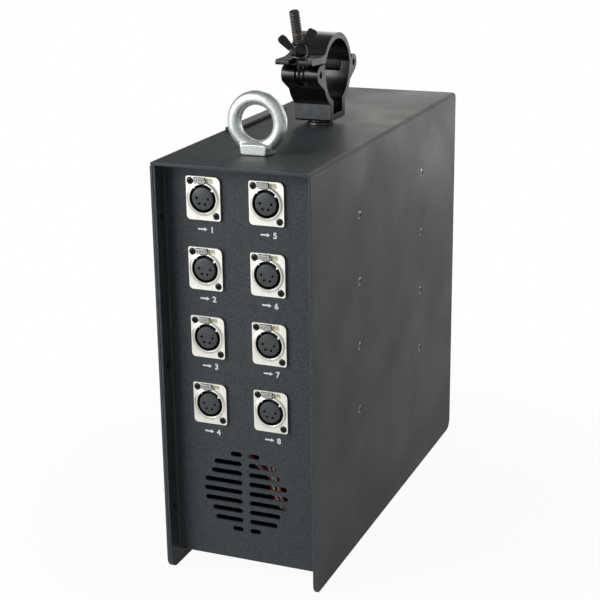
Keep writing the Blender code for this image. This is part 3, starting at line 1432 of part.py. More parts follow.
def fuse_drawer(material):
    """The drawer that holds the fuse, with a notch for a fingernail in its upper edge."""
    outer = PANEL_BACK + SEAM + INLET_SHEET
    front = outer + DRAWER_PROUD
    high = DRAWER_Z + DRAWER_HEIGHT / 2
    drawer = block(
        "fuse_drawer",
        (INLET_X - DRAWER_WIDTH / 2, outer - DRAWER_DEPTH, DRAWER_Z - DRAWER_HEIGHT / 2),
        (INLET_X + DRAWER_WIDTH / 2, front, high),
        material, edge=DRAWER_EDGE,
    )
    width, height, depth = DRAWER_NOTCH
    notch = panel_block("drawer_notch", INLET_X, high, width, 2 * height, front - depth, front + OVERSHOOT)
    cut(drawer, notch)
    return drawer


def switch_frame(material):
    """The rectangular frame of the mains switch, with a body behind the panel."""
    face = PANEL_BACK + SEAM
    outer = face + SWITCH_SHEET
    frame = plate(
        "switch_frame",
        [rounded_rectangle(SWITCH_X, SWITCH_Z, SWITCH_WIDTH, SWITCH_HEIGHT, (0.0015,) * 4, 3)],
        FACING_Y, face, outer, material,
    )
    width, height = switch_opening()
    body = panel_block(
        "switch_body", SWITCH_X, SWITCH_Z, width - 2 * SEAM, height - 2 * SEAM,
        face - SWITCH_DEPTH, outer - SEAM,
    )
    join(frame, body)
    well = panel_block(
        "switch_well", SWITCH_X, SWITCH_Z,
        ROCKER_WIDTH + 2 * ROCKER_CLEARANCE, ROCKER_HEIGHT + 2 * ROCKER_CLEARANCE,
        outer - SWITCH_WELL, outer + OVERSHOOT,
    )
    cut(frame, well)
    return frame


def switch_rocker(material):
    """A shallow vee seen from the side, tilted to one side; it rocks about a pivot across its middle."""
    outer = PANEL_BACK + SEAM + SWITCH_SHEET
    half = ROCKER_HEIGHT / 2
    tip = 90 - ROCKER_TIP
    outline = [on_circle(0, 0, half, tip), (ROCKER_DIP, 0)] + arc(0, 0, half, -tip, tip - 360, 10)[:-1]
    turn = Matrix.Rotation(ROCKER_TILT, 2)
    points = [turn @ Vector(point) for point in outline]
    rocker = plate(
        "switch_rocker", [[(y, z) for y, z in points]], FACING_X,
        SWITCH_X - ROCKER_WIDTH / 2, SWITCH_X + ROCKER_WIDTH / 2, material,
    )
    rocker.location = (0, outer, SWITCH_Z)
    return rocker


def facing_back(x, z):
    """A frame on the rear panel's face: what is drawn as a front socket is turned to face the back."""
    return Matrix.Translation((x, PANEL_BACK, z)) @ Matrix.Rotation(math.pi, 4, "Z")


def data_shell_mesh():
    """Flange and barrel of a data socket, about its centre on the panel's face, drawn facing -Y."""
    flange = plate("data_shell", [flange_outline()], FACING_Y, -SEAM - FLANGE_SHEET, -SEAM)
    end = -SEAM + BARREL_LENGTH
    front = -SEAM - FLANGE_SHEET
    along_y = Matrix.Rotation(math.radians(-90), 4, "X")
    bottom = end - BARREL_BACK_WALL
    shape = {"collection": cutters, "count": SOCKET_ROUND}
    barrel = rod("data_barrel", BARREL_RADIUS, front / 2, end, along_y, **shape)
    bore = rod("data_bore", BORE_RADIUS, front - OVERSHOOT, bottom, along_y, **shape)
    join(flange, barrel)
    cut(flange, bore)
    return flange


def data_pin_places():
    return [on_circle(0, 0, DATA_PIN_CIRCLE, 150 + 60 * i) for i in range(5)]


def data_input(material):
    """The inlet for data: five pins stand in its bore."""
    shell = data_shell_mesh()
    end = -SEAM + BARREL_LENGTH - BARREL_BACK_WALL / 2
    pins = [circle(x, z, DATA_PIN_RADIUS, TINY_ROUND) for x, z in data_pin_places()]
    for i, outline in enumerate(pins):
        join(shell, plate(f"data_pin_{i}", [outline], FACING_Y, DATA_PIN_START, end, None, cutters))
    settle(shell)
    shell.name = "data_input"
    shell.data.transform(facing_back(DATA_COLUMNS[0], DATA_Z))
    shell.data.materials.clear()
    shell.data.materials.append(material)
    return shell


def data_output(material):
    """The outlet that passes data on: a carrier with five holes fills its bore but for a ring."""
    shell = data_shell_mesh()
    end = -SEAM + BARREL_LENGTH
    along_y = Matrix.Rotation(math.radians(-90), 4, "X")
    front = -SEAM - FLANGE_SHEET / 2
    bottom = end - BARREL_BACK_WALL / 2
    shape = {"collection": cutters, "count": SOCKET_ROUND}
    carrier = rod("data_carrier", INSERT_RADIUS, front, bottom, along_y, **shape)
    join(shell, carrier)
    holes = [circle(x, z, DATA_PIN_RADIUS, TINY_ROUND) for x, z in data_pin_places()]
    contacts = plate("data_holes", holes, FACING_Y, front - OVERSHOOT, front + CONTACT_DEPTH, None, cutters)
    cut(shell, contacts)
    settle(shell)
    shell.name = "data_output"
    shell.data.transform(facing_back(DATA_COLUMNS[1], DATA_Z))
    shell.data.materials.clear()
    shell.data.materials.append(material)
    return shell


def display_module(material):
    """The status display: bezel outside, body through the panel, and the board that backs the buttons."""
    face = PANEL_BACK + SEAM
    behind = PANEL_BACK - PANEL_SHEET - BUTTON_BOARD_DEPTH
    bezel = plate(
        "display_module",
        [rounded_rectangle(0, DISPLAY_Z, DISPLAY_WIDTH, DISPLAY_HEIGHT, (0.002,) * 4, 3)],
        FACING_Y, face, face + DISPLAY_SHEET, material,
    )
    outer = face + DISPLAY_SHEET
    width, height = display_opening()
    body = panel_block(
        "display_body", 0, DISPLAY_Z, width - 2 * SEAM, height - 2 * SEAM,
        behind - BOARD_SHEET / 2, outer - SEAM,
    )
    low = BUTTON_Z - DISPLAY_BOARD_BELOW
    high = DISPLAY_Z + DISPLAY_HEIGHT / 2
    board = panel_block(
        "display_board", 0, (low + high) / 2, DISPLAY_BOARD_WIDTH, high - low, behind - BOARD_SHEET, behind
    )
    window = panel_block(
        "display_window", 0, DISPLAY_Z, width - 2 * DISPLAY_RIM, height - 2 * DISPLAY_RIM,
        outer - DISPLAY_RECESS, outer + OVERSHOOT,
    )
    join(bezel, body, board)
    cut(bezel, window)
    return bezel


def menu_buttons(material):
    """Four push buttons; a collar behind the panel keeps each one in its hole."""
    for number, x in enumerate(button_columns(), 1):
        place = Matrix.Translation((x, PANEL_BACK, BUTTON_Z)) @ Matrix.Rotation(math.radians(-90), 4, "X")
        collar = -PANEL_SHEET - SEAM
        profile = [
            (0, -PANEL_SHEET - BUTTON_STEM),
            (BUTTON_RADIUS * 0.6, -PANEL_SHEET - BUTTON_STEM),
            (BUTTON_RADIUS * 0.6, collar - BUTTON_COLLAR),
            (BUTTON_COLLAR_RADIUS, collar - BUTTON_COLLAR),
            (BUTTON_COLLAR_RADIUS, collar),
            (BUTTON_RADIUS, collar),
            (BUTTON_RADIUS, BUTTON_PROUD - 0.0006),
            (BUTTON_RADIUS - 0.0006, BUTTON_PROUD),
            (0, BUTTON_PROUD - 0.0003),
        ]
        turned(f"menu_button_{number}", profile, place, material, count=SMALL_ROUND, closed=False)


coat = powder_coat()
outer_cover(coat)
left_side_cover(coat)
floor_panel(coat)
front_panel(coat)
rear_panel(coat)
socket_metal = nickel()
output_sockets(socket_metal, insert_plastic(), latch_metal())
lifting_eye(zinc())
aluminium = black_aluminium()
steel = black_steel()
clamp_body(aluminium)
clamp_jaw(aluminium)
hinge_pin("swing_bolt_pin", -PIN_SPACING_HALF, steel)
hinge_pin("jaw_hinge_pin", PIN_SPACING_HALF, steel)
swing_bolt(steel)
wing_washer(steel)
wing_nut(steel)
clamp_bolt(steel)
clamp_washers(steel)
top_strip(strip_rubber())
case_metal = supply_case()
power_supply("upper_power_supply", UPPER_SUPPLY_Z, case_metal)
power_supply("lower_power_supply", LOWER_SUPPLY_Z, case_metal)
driver_board(board_laminate())
plastic = black_plastic()
fan_frame(plastic)
fan_rotor(plastic)
mains_inlet(plastic)
fuse_drawer(plastic)
switch_frame(plastic)
switch_rocker(plastic)
data_input(socket_metal)
data_output(socket_metal)
display_module(plastic)
menu_buttons(button_plastic())
output_leads(lead_insulation())
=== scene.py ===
# %% [markdown]
# An LED pixel controller: a narrow box of powder-coated sheet steel that hangs from a truss clamp
# beside a lifting eye, with eight nickel output sockets on its front and a grille of long slots
# below them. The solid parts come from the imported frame. This lesson dresses them: it gives each
# one its finish, and puts a finer mesh in the place of the parts that a camera sees from close by.

import math

import bmesh
import bpy
from mathutils import Matrix, Vector


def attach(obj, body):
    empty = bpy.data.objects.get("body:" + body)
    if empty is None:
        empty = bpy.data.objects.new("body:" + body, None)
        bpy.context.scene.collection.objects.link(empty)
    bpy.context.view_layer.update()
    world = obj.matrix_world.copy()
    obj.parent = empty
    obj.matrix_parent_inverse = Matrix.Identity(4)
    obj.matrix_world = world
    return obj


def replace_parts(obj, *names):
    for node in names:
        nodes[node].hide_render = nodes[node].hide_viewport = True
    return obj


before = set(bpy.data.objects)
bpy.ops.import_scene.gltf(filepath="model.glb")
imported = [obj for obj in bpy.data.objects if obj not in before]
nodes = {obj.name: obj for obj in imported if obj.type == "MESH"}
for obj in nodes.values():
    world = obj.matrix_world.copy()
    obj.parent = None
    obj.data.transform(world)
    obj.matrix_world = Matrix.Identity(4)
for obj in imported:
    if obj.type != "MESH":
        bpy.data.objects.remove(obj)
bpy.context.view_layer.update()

# %% [markdown]
# The photograph looks down on the front and the right side through a long lens. A camera can be
# placed by hand, by a constraint, or from three directions. The directions are used here because
# the box's own edges gave them: azimuth, elevation, a slight roll, and the distance to a point
# near the middle of the box.

# %% The camera
AZIMUTH = math.radians(22.349)
ELEVATION = math.radians(17.642)
ROLL = math.radians(-0.803)
LENS = 86.497
CAMERA_PLACE = Vector((0.405999, -1.033571, 0.521660))

backward = Vector((
    math.sin(AZIMUTH) * math.cos(ELEVATION),
    -math.cos(AZIMUTH) * math.cos(ELEVATION),
    math.sin(ELEVATION),
))
level_right = Vector((0, 0, 1)).cross(backward).normalized()
level_up = backward.cross(level_right)
right = math.cos(ROLL) * level_right + math.sin(ROLL) * level_up
up = math.cos(ROLL) * level_up - math.sin(ROLL) * level_right
camera_data = bpy.data.cameras.new("camera")
camera_data.lens = LENS
camera_data.sensor_width = 36
camera_data.sensor_fit = "HORIZONTAL"
camera_data.clip_start = 0.05
camera_data.clip_end = 50
camera = bpy.data.objects.new("camera", camera_data)
camera.matrix_world = Matrix.Translation(CAMERA_PLACE) @ Matrix((right, up, backward)).transposed().to_4x4()
bpy.context.scene.collection.objects.link(camera)
bpy.context.scene.camera = camera
bpy.context.scene.view_settings.view_transform = "Standard"
print("camera", [round(value, 3) for value in camera.location], "lens", LENS)

# %% [markdown]
# The object stands on white. The world could be one plain colour, but then it would also light
# every face alike. So it is plain white to the camera only, a faint grey as a light, and a share of
# white to the rays that a surface mirrors. That share is largest in front, where a studio is
# bright, and small behind the object, so that black metal mirrors a dark room and keeps its depth.

# %% The world
ROOM_LIGHT = 0.06
ROOM_COLOUR = (0.96, 0.98, 1.0, 1)
WHITE = (1, 1, 1, 1)
MIRRORED = 0.50
MIRRORED_BEHIND = 0.16
BEHIND = (-0.75, -0.15)


def node(tree, kind, **settings):
    """A new shader node with the given settings."""
    made = tree.nodes.new(kind)
    for name, value in settings.items():
        setattr(made, name, value)
    return made


def arithmetic(tree, operation, *values):
    """The result of a Math node that works on sockets or plain numbers."""
    made = node(tree, "ShaderNodeMath", operation=operation)
    for value, entry in zip(values, made.inputs):
        if isinstance(value, bpy.types.NodeSocket):
            tree.links.new(value, entry)
        else:
            entry.default_value = value
    return made.outputs[0]


def spread(tree, value, low, high, out_low=0.0, out_high=1.0):
    """Value from low to high, mapped to out_low to out_high and held there."""
    mapped = node(tree, "ShaderNodeMapRange")
    mapped.inputs["From Min"].default_value = low
    mapped.inputs["From Max"].default_value = high
    mapped.inputs["To Min"].default_value = out_low
    mapped.inputs["To Max"].default_value = out_high
    tree.links.new(value, mapped.inputs["Value"])
    return mapped.outputs["Result"]


def whiteness(tree, mirrored=MIRRORED):
    """1 for the camera's own rays, a share for mirrored rays, 0 for the rays that carry light."""
    path = node(tree, "ShaderNodeLightPath")
    glossy = path.outputs["Is Glossy Ray"]
    return arithmetic(tree, "MULTIPLY_ADD", glossy, mirrored, path.outputs["Is Camera Ray"])


def show_mix(tree, factor, first, second, output):
    """Mixes two shaders by a factor and hands the result to a new output node."""
    mix = node(tree, "ShaderNodeMixShader")
    tree.links.new(factor, mix.inputs[0])
    tree.links.new(first.outputs[0], mix.inputs[1])
    tree.links.new(second.outputs[0], mix.inputs[2])
    tree.links.new(mix.outputs[0], node(tree, output).inputs[0])


world = bpy.data.worlds.new("studio")
bpy.context.scene.world = world
world.use_nodes = True
tree = world.node_tree
tree.nodes.clear()
light_room = node(tree, "ShaderNodeBackground")
light_room.inputs["Color"].default_value = ROOM_COLOUR
light_room.inputs["Strength"].default_value = ROOM_LIGHT
white_room = node(tree, "ShaderNodeBackground")
white_room.inputs["Color"].default_value = WHITE
direction = node(tree, "ShaderNodeSeparateXYZ")
tree.links.new(node(tree, "ShaderNodeTexCoord").outputs["Generated"], direction.inputs[0])
behind = spread(tree, direction.outputs["Y"], *BEHIND, MIRRORED, MIRRORED_BEHIND)
show_mix(tree, whiteness(tree, behind), light_room, white_room, "ShaderNodeOutputWorld")
print("room light", ROOM_LIGHT)

# %% [markdown]
# The floor has to keep the object's shadow and still be white in the picture. Its paper is mixed
# with a plain white glow that only the camera and mirrors see. Close to the box the glow leaves
# some room for the shadow, and further away it takes over altogether, so the lamps' uneven light
# does not show there.

# %% The floor
FLOOR_SIZE = 6
FLOOR_DROP = 0.0004
FLOOR_COLOUR = (0.86, 0.86, 0.86, 1)
FLOOR_GLOW = 0.95
SHADOW_REACH = (0.18, 0.42)

floor_mesh = bpy.data.meshes.new("floor")
reach = FLOOR_SIZE / 2
floor_mesh.from_pydata(
    [(-reach, -reach, 0), (reach, -reach, 0), (reach, reach, 0), (-reach, reach, 0)], [], [(0, 1, 2, 3)]
)
floor = bpy.data.objects.new("floor", floor_mesh)
floor.location.z = -FLOOR_DROP
bpy.context.scene.collection.objects.link(floor)
floor_finish = bpy.data.materials.new("floor_paper")
floor_finish.use_nodes = True
tree = floor_finish.node_tree
tree.nodes.clear()
paper = node(tree, "ShaderNodeBsdfDiffuse")
paper.inputs["Color"].default_value = FLOOR_COLOUR
glow = node(tree, "ShaderNodeEmission")
glow.inputs["Color"].default_value = WHITE
distance = node(tree, "ShaderNodeVectorMath", operation="LENGTH")
tree.links.new(node(tree, "ShaderNodeTexCoord").outputs["Object"], distance.inputs[0])
glow_share = spread(tree, distance.outputs["Value"], *SHADOW_REACH, FLOOR_GLOW)
share = arithmetic(tree, "MULTIPLY", whiteness(tree), glow_share)
show_mix(tree, share, paper, glow, "ShaderNodeOutputMaterial")
floor.data.materials.append(floor_finish)
print("floor", FLOOR_SIZE, "m square")

# %% [markdown]
# Four soft boxes light the object. One at the left front lights the socket panel and leaves the
# left lip's shade on it. One far to the right lights the whole right side. Two stand low behind the
# box: light that only grazes a face falls off quickly along it, which gives the top and the right
# side their fade from pale at the back to dark in front. The wider of the two also reaches round the
# bend between the top and the side, where a small lamp would leave a dark line.

# %% The lamps
COOL = (0.97, 0.99, 1.0)
WARM = (1.0, 1.0, 0.93)
SOFT_BOXES = (
    ("left_box", (-0.95, -1.05, 0.75), (0, -0.16, 0.20), 1.10, 20.5, COOL),
    ("right_box", (1.7, 1.0, 1.0), (0, 0.05, 0.2), 1.2, 5.9, WARM),
    ("rear_box", (0.02, 0.75, 0.58), (0.01, 0.12, 0.31), 0.65, 2.25, WARM),
    ("grazing_box", (0.30, 0.60, 0.25), (0.06, 0.12, 0.20), 0.25, 0.58, WARM),
)

for name, place, target, size, power, colour in SOFT_BOXES:
    lamp_data = bpy.data.lights.new(name, "AREA")
    lamp_data.shape = "SQUARE"
    lamp_data.size = size
    lamp_data.energy = power
    lamp_data.color = colour
    lamp = bpy.data.objects.new(name, lamp_data)
    lamp.location = place
    lamp.rotation_euler = (Vector(target) - Vector(place)).to_track_quat("-Z", "Y").to_euler()
    bpy.context.scene.collection.objects.link(lamp)
    print(name, power, "W,", size, "m square")

# %% [markdown]
# Every finish below starts from one Principled shader. Noise in object coordinates is fixed to the
# metal, so a grain stays in its place when the camera or a joint moves. Short helpers cover what
# the finishes share: a new surface, coordinates on the piece, a noise, a mix of two colours,
# patches of them, an uneven gloss, and a bump.

# %% Helpers for the finishes


def surface(name, colour, roughness, metallic=0.0):
    """A new material, with its node tree and its Principled shader."""
    material = bpy.data.materials.new(name)
    material.use_nodes = True
    shader = material.node_tree.nodes["Principled BSDF"]
    shader.inputs["Base Color"].default_value = (*colour, 1)
    shader.inputs["Roughness"].default_value = roughness
    shader.inputs["Metallic"].default_value = metallic
    return material, material.node_tree, shader


def on_the_piece(tree, stretch=(1, 1, 1)):
    """Object coordinates, stretched along the axes."""
    place = node(tree, "ShaderNodeTexCoord")
    mapping = node(tree, "ShaderNodeMapping")
    mapping.inputs["Scale"].default_value = stretch
    tree.links.new(place.outputs["Object"], mapping.inputs["Vector"])
    return mapping.outputs[0]


def grain(tree, size, detail=2.0, stretch=(1, 1, 1)):
    """Noise whose spots are about size metres across."""
    noise = node(tree, "ShaderNodeTexNoise")
    noise.inputs["Scale"].default_value = 1 / size
    noise.inputs["Detail"].default_value = detail
    tree.links.new(on_the_piece(tree, stretch), noise.inputs["Vector"])
    return noise.outputs["Fac"]


def tint(tree, factor, first, second):
    """A colour between two, by a factor from 0 to 1."""
    mix = node(tree, "ShaderNodeMix", data_type="RGBA")
    mix.inputs[6].default_value = (*first, 1)
    mix.inputs[7].default_value = (*second, 1)
    tree.links.new(factor, mix.inputs[0])
    return mix.outputs[2]


def patchy(tree, shader, size, detail, low, high, first, second):
    """A base colour in patches: the first one where a noise is below low, the second above high."""
    patch = spread(tree, grain(tree, size, detail), low, high)
    tree.links.new(tint(tree, patch, first, second), shader.inputs["Base Color"])


def uneven(tree, shader, size, detail, low, high):
    """A roughness that wanders between two values."""
    gloss = spread(tree, grain(tree, size, detail), 0.3, 0.7, low, high)
    tree.links.new(gloss, shader.inputs["Roughness"])


def relief(tree, shader, height, depth):
    """Bump from a height that runs from 0 to 1, as deep as depth metres."""
    bump = node(tree, "ShaderNodeBump")
    bump.inputs["Distance"].default_value = depth
    bump.inputs["Strength"].default_value = 1.0
    tree.links.new(height, bump.inputs["Height"])
    tree.links.new(bump.outputs["Normal"], shader.inputs["Normal"])


print("helpers ready")

# %% [markdown]
# The sheet metal has a fine sand-textured powder coat. Powder melts into a skin of small lumps, so
# close by it sparkles and shows pale specks, and from afar it is an even dark grey. A fine noise
# bumps the skin, a second one speckles the colour, and a broad one changes the gloss a little, as
# handling does. The narrow faces where the sheet is bent or cut get a paler finish of their own:
# partly the coat rubbed thin there, partly a painted highlight along every edge.

# %% The powder coat
COAT_DARK = (0.027, 0.0318, 0.0355)
COAT_PALE = (0.082, 0.0935, 0.101)
# The edge colours are partly wear and partly a painted highlight.
WORN_HIGHLIT_DARK = (0.098, 0.110, 0.119)
WORN_HIGHLIT_PALE = (0.205, 0.228, 0.249)
COAT_LUMP = 0.0007
COAT_DEPTH = 0.00005


def coat(name, dark, pale):
    """Powder coat, speckled between two shades."""
    material, tree, shader = surface(name, dark, 0.5)
    patchy(tree, shader, COAT_LUMP, 3.0, 0.34, 0.70, dark, pale)
    uneven(tree, shader, 0.05, 4.0, 0.44, 0.56)
    relief(tree, shader, grain(tree, COAT_LUMP * 0.8, 2.0), COAT_DEPTH)
    shader.inputs["Specular IOR Level"].default_value = 0.22
    return material


powder_coat = coat("powder_coat", COAT_DARK, COAT_PALE)
worn_highlit_edge = coat("worn_highlit_edge", WORN_HIGHLIT_DARK, WORN_HIGHLIT_PALE)
print("coat lumps", COAT_LUMP * 1000, "mm")

# %% [markdown]
# The cover, the left side, the two panels and the floor plate are flat sheets with sharp edges in
# the solid model. Real sheet has edges that the coat has rounded, and these catch the light. An
# edge can be rounded by hand, in sculpting, or by a Bevel modifier. The modifier suits sheet best:
# the mesh is copied, its flat triangles are dissolved into plain faces, and every edge over thirty
# degrees is rounded by a fraction of a millimetre. The rounding takes the second slot, which holds
# the paler edge finish: rubbed coat and a painted highlight.

# %% Round the edges of the sheet metal
FLAT_ANGLE = math.radians(1)
EDGE_ANGLE = math.radians(30)
SHEET_EDGE = 0.00042


def finished(shape, name):
    """The mesh of a bmesh, which is freed."""
    mesh = bpy.data.meshes.new(name)
    shape.to_mesh(mesh)
    shape.free()
    return mesh


def plain_copy(name, source):
    """A copy of a solid's mesh, with its flat triangles dissolved into whole faces."""
    shape = bmesh.new()
    shape.from_mesh(source.data)
    bmesh.ops.remove_doubles(shape, verts=shape.verts, dist=0.00001)
    bmesh.ops.dissolve_limit(
        shape, angle_limit=FLAT_ANGLE, verts=shape.verts, edges=shape.edges,
        use_dissolve_boundaries=False,
    )
    piece = bpy.data.objects.new(name, finished(shape, name))
    bpy.context.scene.collection.objects.link(piece)
    return piece


def smooth_faces(piece, angle=EDGE_ANGLE):
    """Smooth shading, except across edges sharper than an angle."""
    piece.data.shade_smooth()
    piece.data.set_sharp_from_angle(angle=angle)


def round_edges(piece, width, slot=0, angle=EDGE_ANGLE):
    """A Bevel modifier on the sharp edges; the rounding takes a material slot."""
    bevel = piece.modifiers.new("rounding", "BEVEL")
    bevel.width = width
    bevel.segments = 2
    bevel.limit_method = "ANGLE"
    bevel.angle_limit = angle
    bevel.material = slot
    bevel.harden_normals = True


def flatten_shading(piece):
    """Lets the largest face at each corner set its shading, so flat faces look flat to their edges."""
    weighted = piece.modifiers.new("flat shading", "WEIGHTED_NORMAL")
    weighted.keep_sharp = True
    weighted.weight = 100


SHEETS = ("outer_cover", "left_side_cover", "front_panel", "rear_panel", "floor_panel")
for name in SHEETS:
    sheet = plain_copy(name + "_sheet", nodes[name])
    sheet.data.materials.append(powder_coat)
    # The second slot is the paler edge finish, partly wear and partly a painted highlight.
    sheet.data.materials.append(worn_highlit_edge)
    smooth_faces(sheet)
    round_edges(sheet, SHEET_EDGE, slot=1)
    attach(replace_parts(sheet, name), "box")
    print(sheet.name, len(sheet.data.polygons), "faces before rounding")

# %% [markdown]
# Small parts recur all over the object: a round that is turned on an axis, and a flat outline that
# is given a thickness. Two helpers make both as meshes, so each piece below is a list of radii and
# heights or an outline with its holes. Booleans then carve one shape out of another, or join two.

# %% Turned and cut shapes


def add_piece(name, mesh, *finishes):
    """An object from a mesh, smooth except at its edges."""
    piece = bpy.data.objects.new(name, mesh)
    bpy.context.scene.collection.objects.link(piece)
    for finish in finishes:
        mesh.materials.append(finish)
    smooth_faces(piece)
    return piece


def turned(name, profile, count, place=Matrix.Identity(4)):
    """A mesh turned round local Z from (radius, height) pairs; radius 0 closes an end."""
    shape = bmesh.new()
    rings = []
    for radius, height in profile:
        if radius == 0:
            rings.append([shape.verts.new((0, 0, height))])
            continue
        ring = []
        for i in range(count):
            turn = math.tau * i / count
            ring.append(shape.verts.new((radius * math.cos(turn), radius * math.sin(turn), height)))
        rings.append(ring)
    for first, second in zip(rings, rings[1:]):
        for i in range(count):
            corners = []
            for corner in (
                first[i % len(first)], first[(i + 1) % len(first)],
                second[(i + 1) % len(second)], second[i % len(second)],
            ):
                if corner not in corners:
                    corners.append(corner)
            shape.faces.new(corners)
    if profile[0][0] != 0 and profile[0] == profile[-1]:
        bmesh.ops.remove_doubles(shape, verts=shape.verts, dist=1e-7)
    bmesh.ops.recalc_face_normals(shape, faces=shape.faces)
    shape.transform(place)
    return finished(shape, name)


def arc(x, y, radius, start, end, count):
    """Points on a circle round (x, y), from one angle in degrees to another."""
    angles = [math.radians(start + (end - start) * i / count) for i in range(count + 1)]
    return [(x + radius * math.cos(a), y + radius * math.sin(a)) for a in angles]


def cut_sheet(name, outline, start, end, place=Matrix.Identity(4)):
    """A mesh that fills an outline in local XY, from height start to height end."""
    shape = bmesh.new()
    low = [shape.verts.new((x, y, start)) for x, y in outline]
    high = [shape.verts.new((x, y, end)) for x, y in outline]
    shape.faces.new(low[::-1])
    shape.faces.new(high)
    for i in range(len(outline)):
        after = (i + 1) % len(outline)
        shape.faces.new((low[i], low[after], high[after], high[i]))
    bmesh.ops.recalc_face_normals(shape, faces=shape.faces)
    shape.transform(place)
    return finished(shape, name)


def turned_piece(name, profile, count, place=Matrix.Identity(4), finishes=()):
    """An object that is turned round an axis."""
    return add_piece(name, turned(name, profile, count, place), *finishes)


def cut_piece(name, outline, start, end, place=Matrix.Identity(4), finishes=()):
    """An object that is cut from a flat outline."""
    return add_piece(name, cut_sheet(name, outline, start, end, place), *finishes)


def rectangle(left, low, right, high):
    """The outline of a rectangle."""
    return [(left, low), (right, low), (right, high), (left, high)]


def gathered(name, meshes):
    """One mesh out of several, which are removed."""
    shape = bmesh.new()
    for mesh in meshes:
        shape.from_mesh(mesh)
        bpy.data.meshes.remove(mesh)
    return finished(shape, name)


def taken_mesh(piece, *finishes):
    """The mesh of a helper object, which is removed, with finishes of its own."""
    mesh = piece.data
    bpy.data.objects.remove(piece)
    mesh.materials.clear()
    for finish in finishes:
        mesh.materials.append(finish)
    return mesh


def combine(piece, others, operation):
    """Applies a Boolean with each of the other pieces for good, and removes them."""
    for other in others:
        modifier = piece.modifiers.new("combine", "BOOLEAN")
        modifier.object = other
        modifier.operation = operation
        modifier.solver = "EXACT"
    graph = bpy.context.evaluated_depsgraph_get()
    graph.update()
    mesh = bpy.data.meshes.new_from_object(piece.evaluated_get(graph))
    piece.modifiers.clear()
    piece.data = mesh
    for other in others:
        bpy.data.objects.remove(other)


def carve(piece, *cutters):
    """Takes the cutters' shapes out of a piece."""
    combine(piece, cutters, "DIFFERENCE")


def unite(piece, *others):
    """Adds the shapes of other pieces to a piece."""
    combine(piece, others, "UNION")


FACING_FRONT = Matrix.Rotation(math.radians(90), 4, "X")
FACING_RIGHT = Matrix(((0, 0, 1, 0), (1, 0, 0, 0), (0, 1, 0, 0), (0, 0, 0, 1)))
ALONG_X = Matrix.Rotation(math.radians(90), 4, "Y")
print("turned and cut shapes ready")

# %% [markdown]
# The sockets and the eye are plated. Nickel on a rough casting is satin: bright, slightly warm and
# a little uneven. Bright zinc on a forging is shinier and blotchy, with the forging's dents still
# there under the plating. Both are full metals; what tells them apart is the noise that drives
# their roughness and their relief.

# %% Plated metals


def plated(name, bright, dull, blotch, gloss, rough, lump, depth, metal=1.0):
    """Plating in blotches of two colours, over the dents of the metal below."""
    material, tree, shader = surface(name, bright, 0.3, metal)
    patchy(tree, shader, blotch, 5.0, 0.35, 0.68, bright, dull)
    uneven(tree, shader, blotch * 0.6, 4.0, gloss, rough)
    relief(tree, shader, grain(tree, lump, 3.0), depth)
    return material


def moulded(name, colour, pale, rough):
    """Moulded plastic with a fine spark-eroded grain."""
    material, tree, shader = surface(name, colour, rough)
    patchy(tree, shader, 0.0012, 3.0, 0.35, 0.7, colour, pale)
    uneven(tree, shader, 0.004, 3.0, rough * 0.85, rough * 1.15)
    relief(tree, shader, grain(tree, 0.00035, 2.0), 0.000015)
    return material


# Painted shade: black for the bore's wall and the latch's pocket, where little light gets in.
bore_shade_black = moulded("bore_shade_black", (0.006, 0.006, 0.0065), (0.012, 0.012, 0.013), 0.55)
# Painted shade: a darker nickel for the sunk place beside the latch.
painted_shade_nickel = plated(
    "painted_shade_nickel", (0.52, 0.50, 0.36), (0.38, 0.37, 0.27), 0.002, 0.40, 0.50, 0.0006, 0.00003
)
satin_nickel = plated(
    "satin_nickel", (0.93, 0.92, 0.85), (0.83, 0.82, 0.74), 0.006, 0.36, 0.46, 0.0006, 0.00002
)
bright_zinc = plated(
    "bright_zinc", (0.82, 0.87, 0.84), (0.60, 0.65, 0.64), 0.0014, 0.32, 0.44, 0.0006, 0.00004, 0.80
)
# A painted highlight for rims that catch the light, partly rubbed metal.
rubbed_highlight_rim = plated(
    "rubbed_highlight_rim", (0.85, 0.85, 0.82), (0.60, 0.60, 0.58), 0.002, 0.20, 0.32, 0.0006, 0.00001
)
pewter = plated(
    "pewter", (0.60, 0.62, 0.58), (0.34, 0.36, 0.33), 0.0012, 0.30, 0.45, 0.0005, 0.00004
)
print("plated metals", satin_nickel.name, bright_zinc.name, pewter.name)

# %% [markdown]
# Black parts come in two kinds. The clamp is anodised aluminium: a thin, even black skin with a
# soft sheen. The sawn ends of the extrusion are a shade paler, with faint saw lines. The upright
# faces of its block get a much paler colour, a painted sheen for the light they reflect. Bolts,
# nuts, pins and screws are blackened steel, which is darker, oilier and glossier.

# %% Black metals


def anodised(name, colour, rough, shine, lines):
    """A thin black skin; lines stretches its fine relief along an axis."""
    material, tree, shader = surface(name, colour, rough)
    pale = tuple(value * 1.7 for value in colour)
    patchy(tree, shader, 0.004, 4.0, 0.35, 0.7, colour, pale)
    uneven(tree, shader, 0.008, 2.0, rough * 0.92, rough * 1.08)
    relief(tree, shader, grain(tree, 0.0005, 2.0, lines), 0.000004)
    shader.inputs["Specular IOR Level"].default_value = shine
    return material


anodised_black = anodised("anodised_black", (0.0025, 0.0028, 0.0032), 0.24, 0.65, (0.06, 1, 1))
anodised_end = anodised("anodised_end", (0.014, 0.015, 0.014), 0.44, 0.25, (1, 0.2, 1))
# Painted sheen: the block's upright faces are coloured paler for the light they reflect.
painted_sheen_anodised = anodised("painted_sheen_anodised", (0.057, 0.063, 0.067), 0.50, 0.5, (1, 1, 1))
black_oxide = anodised("black_oxide", (0.003, 0.003, 0.003), 0.12, 0.34, (1, 1, 1))
screw_black = anodised("screw_black", (0.004, 0.004, 0.004), 0.30, 0.3, (1, 1, 1))
print("black metals", anodised_black.name, anodised_end.name, black_oxide.name)
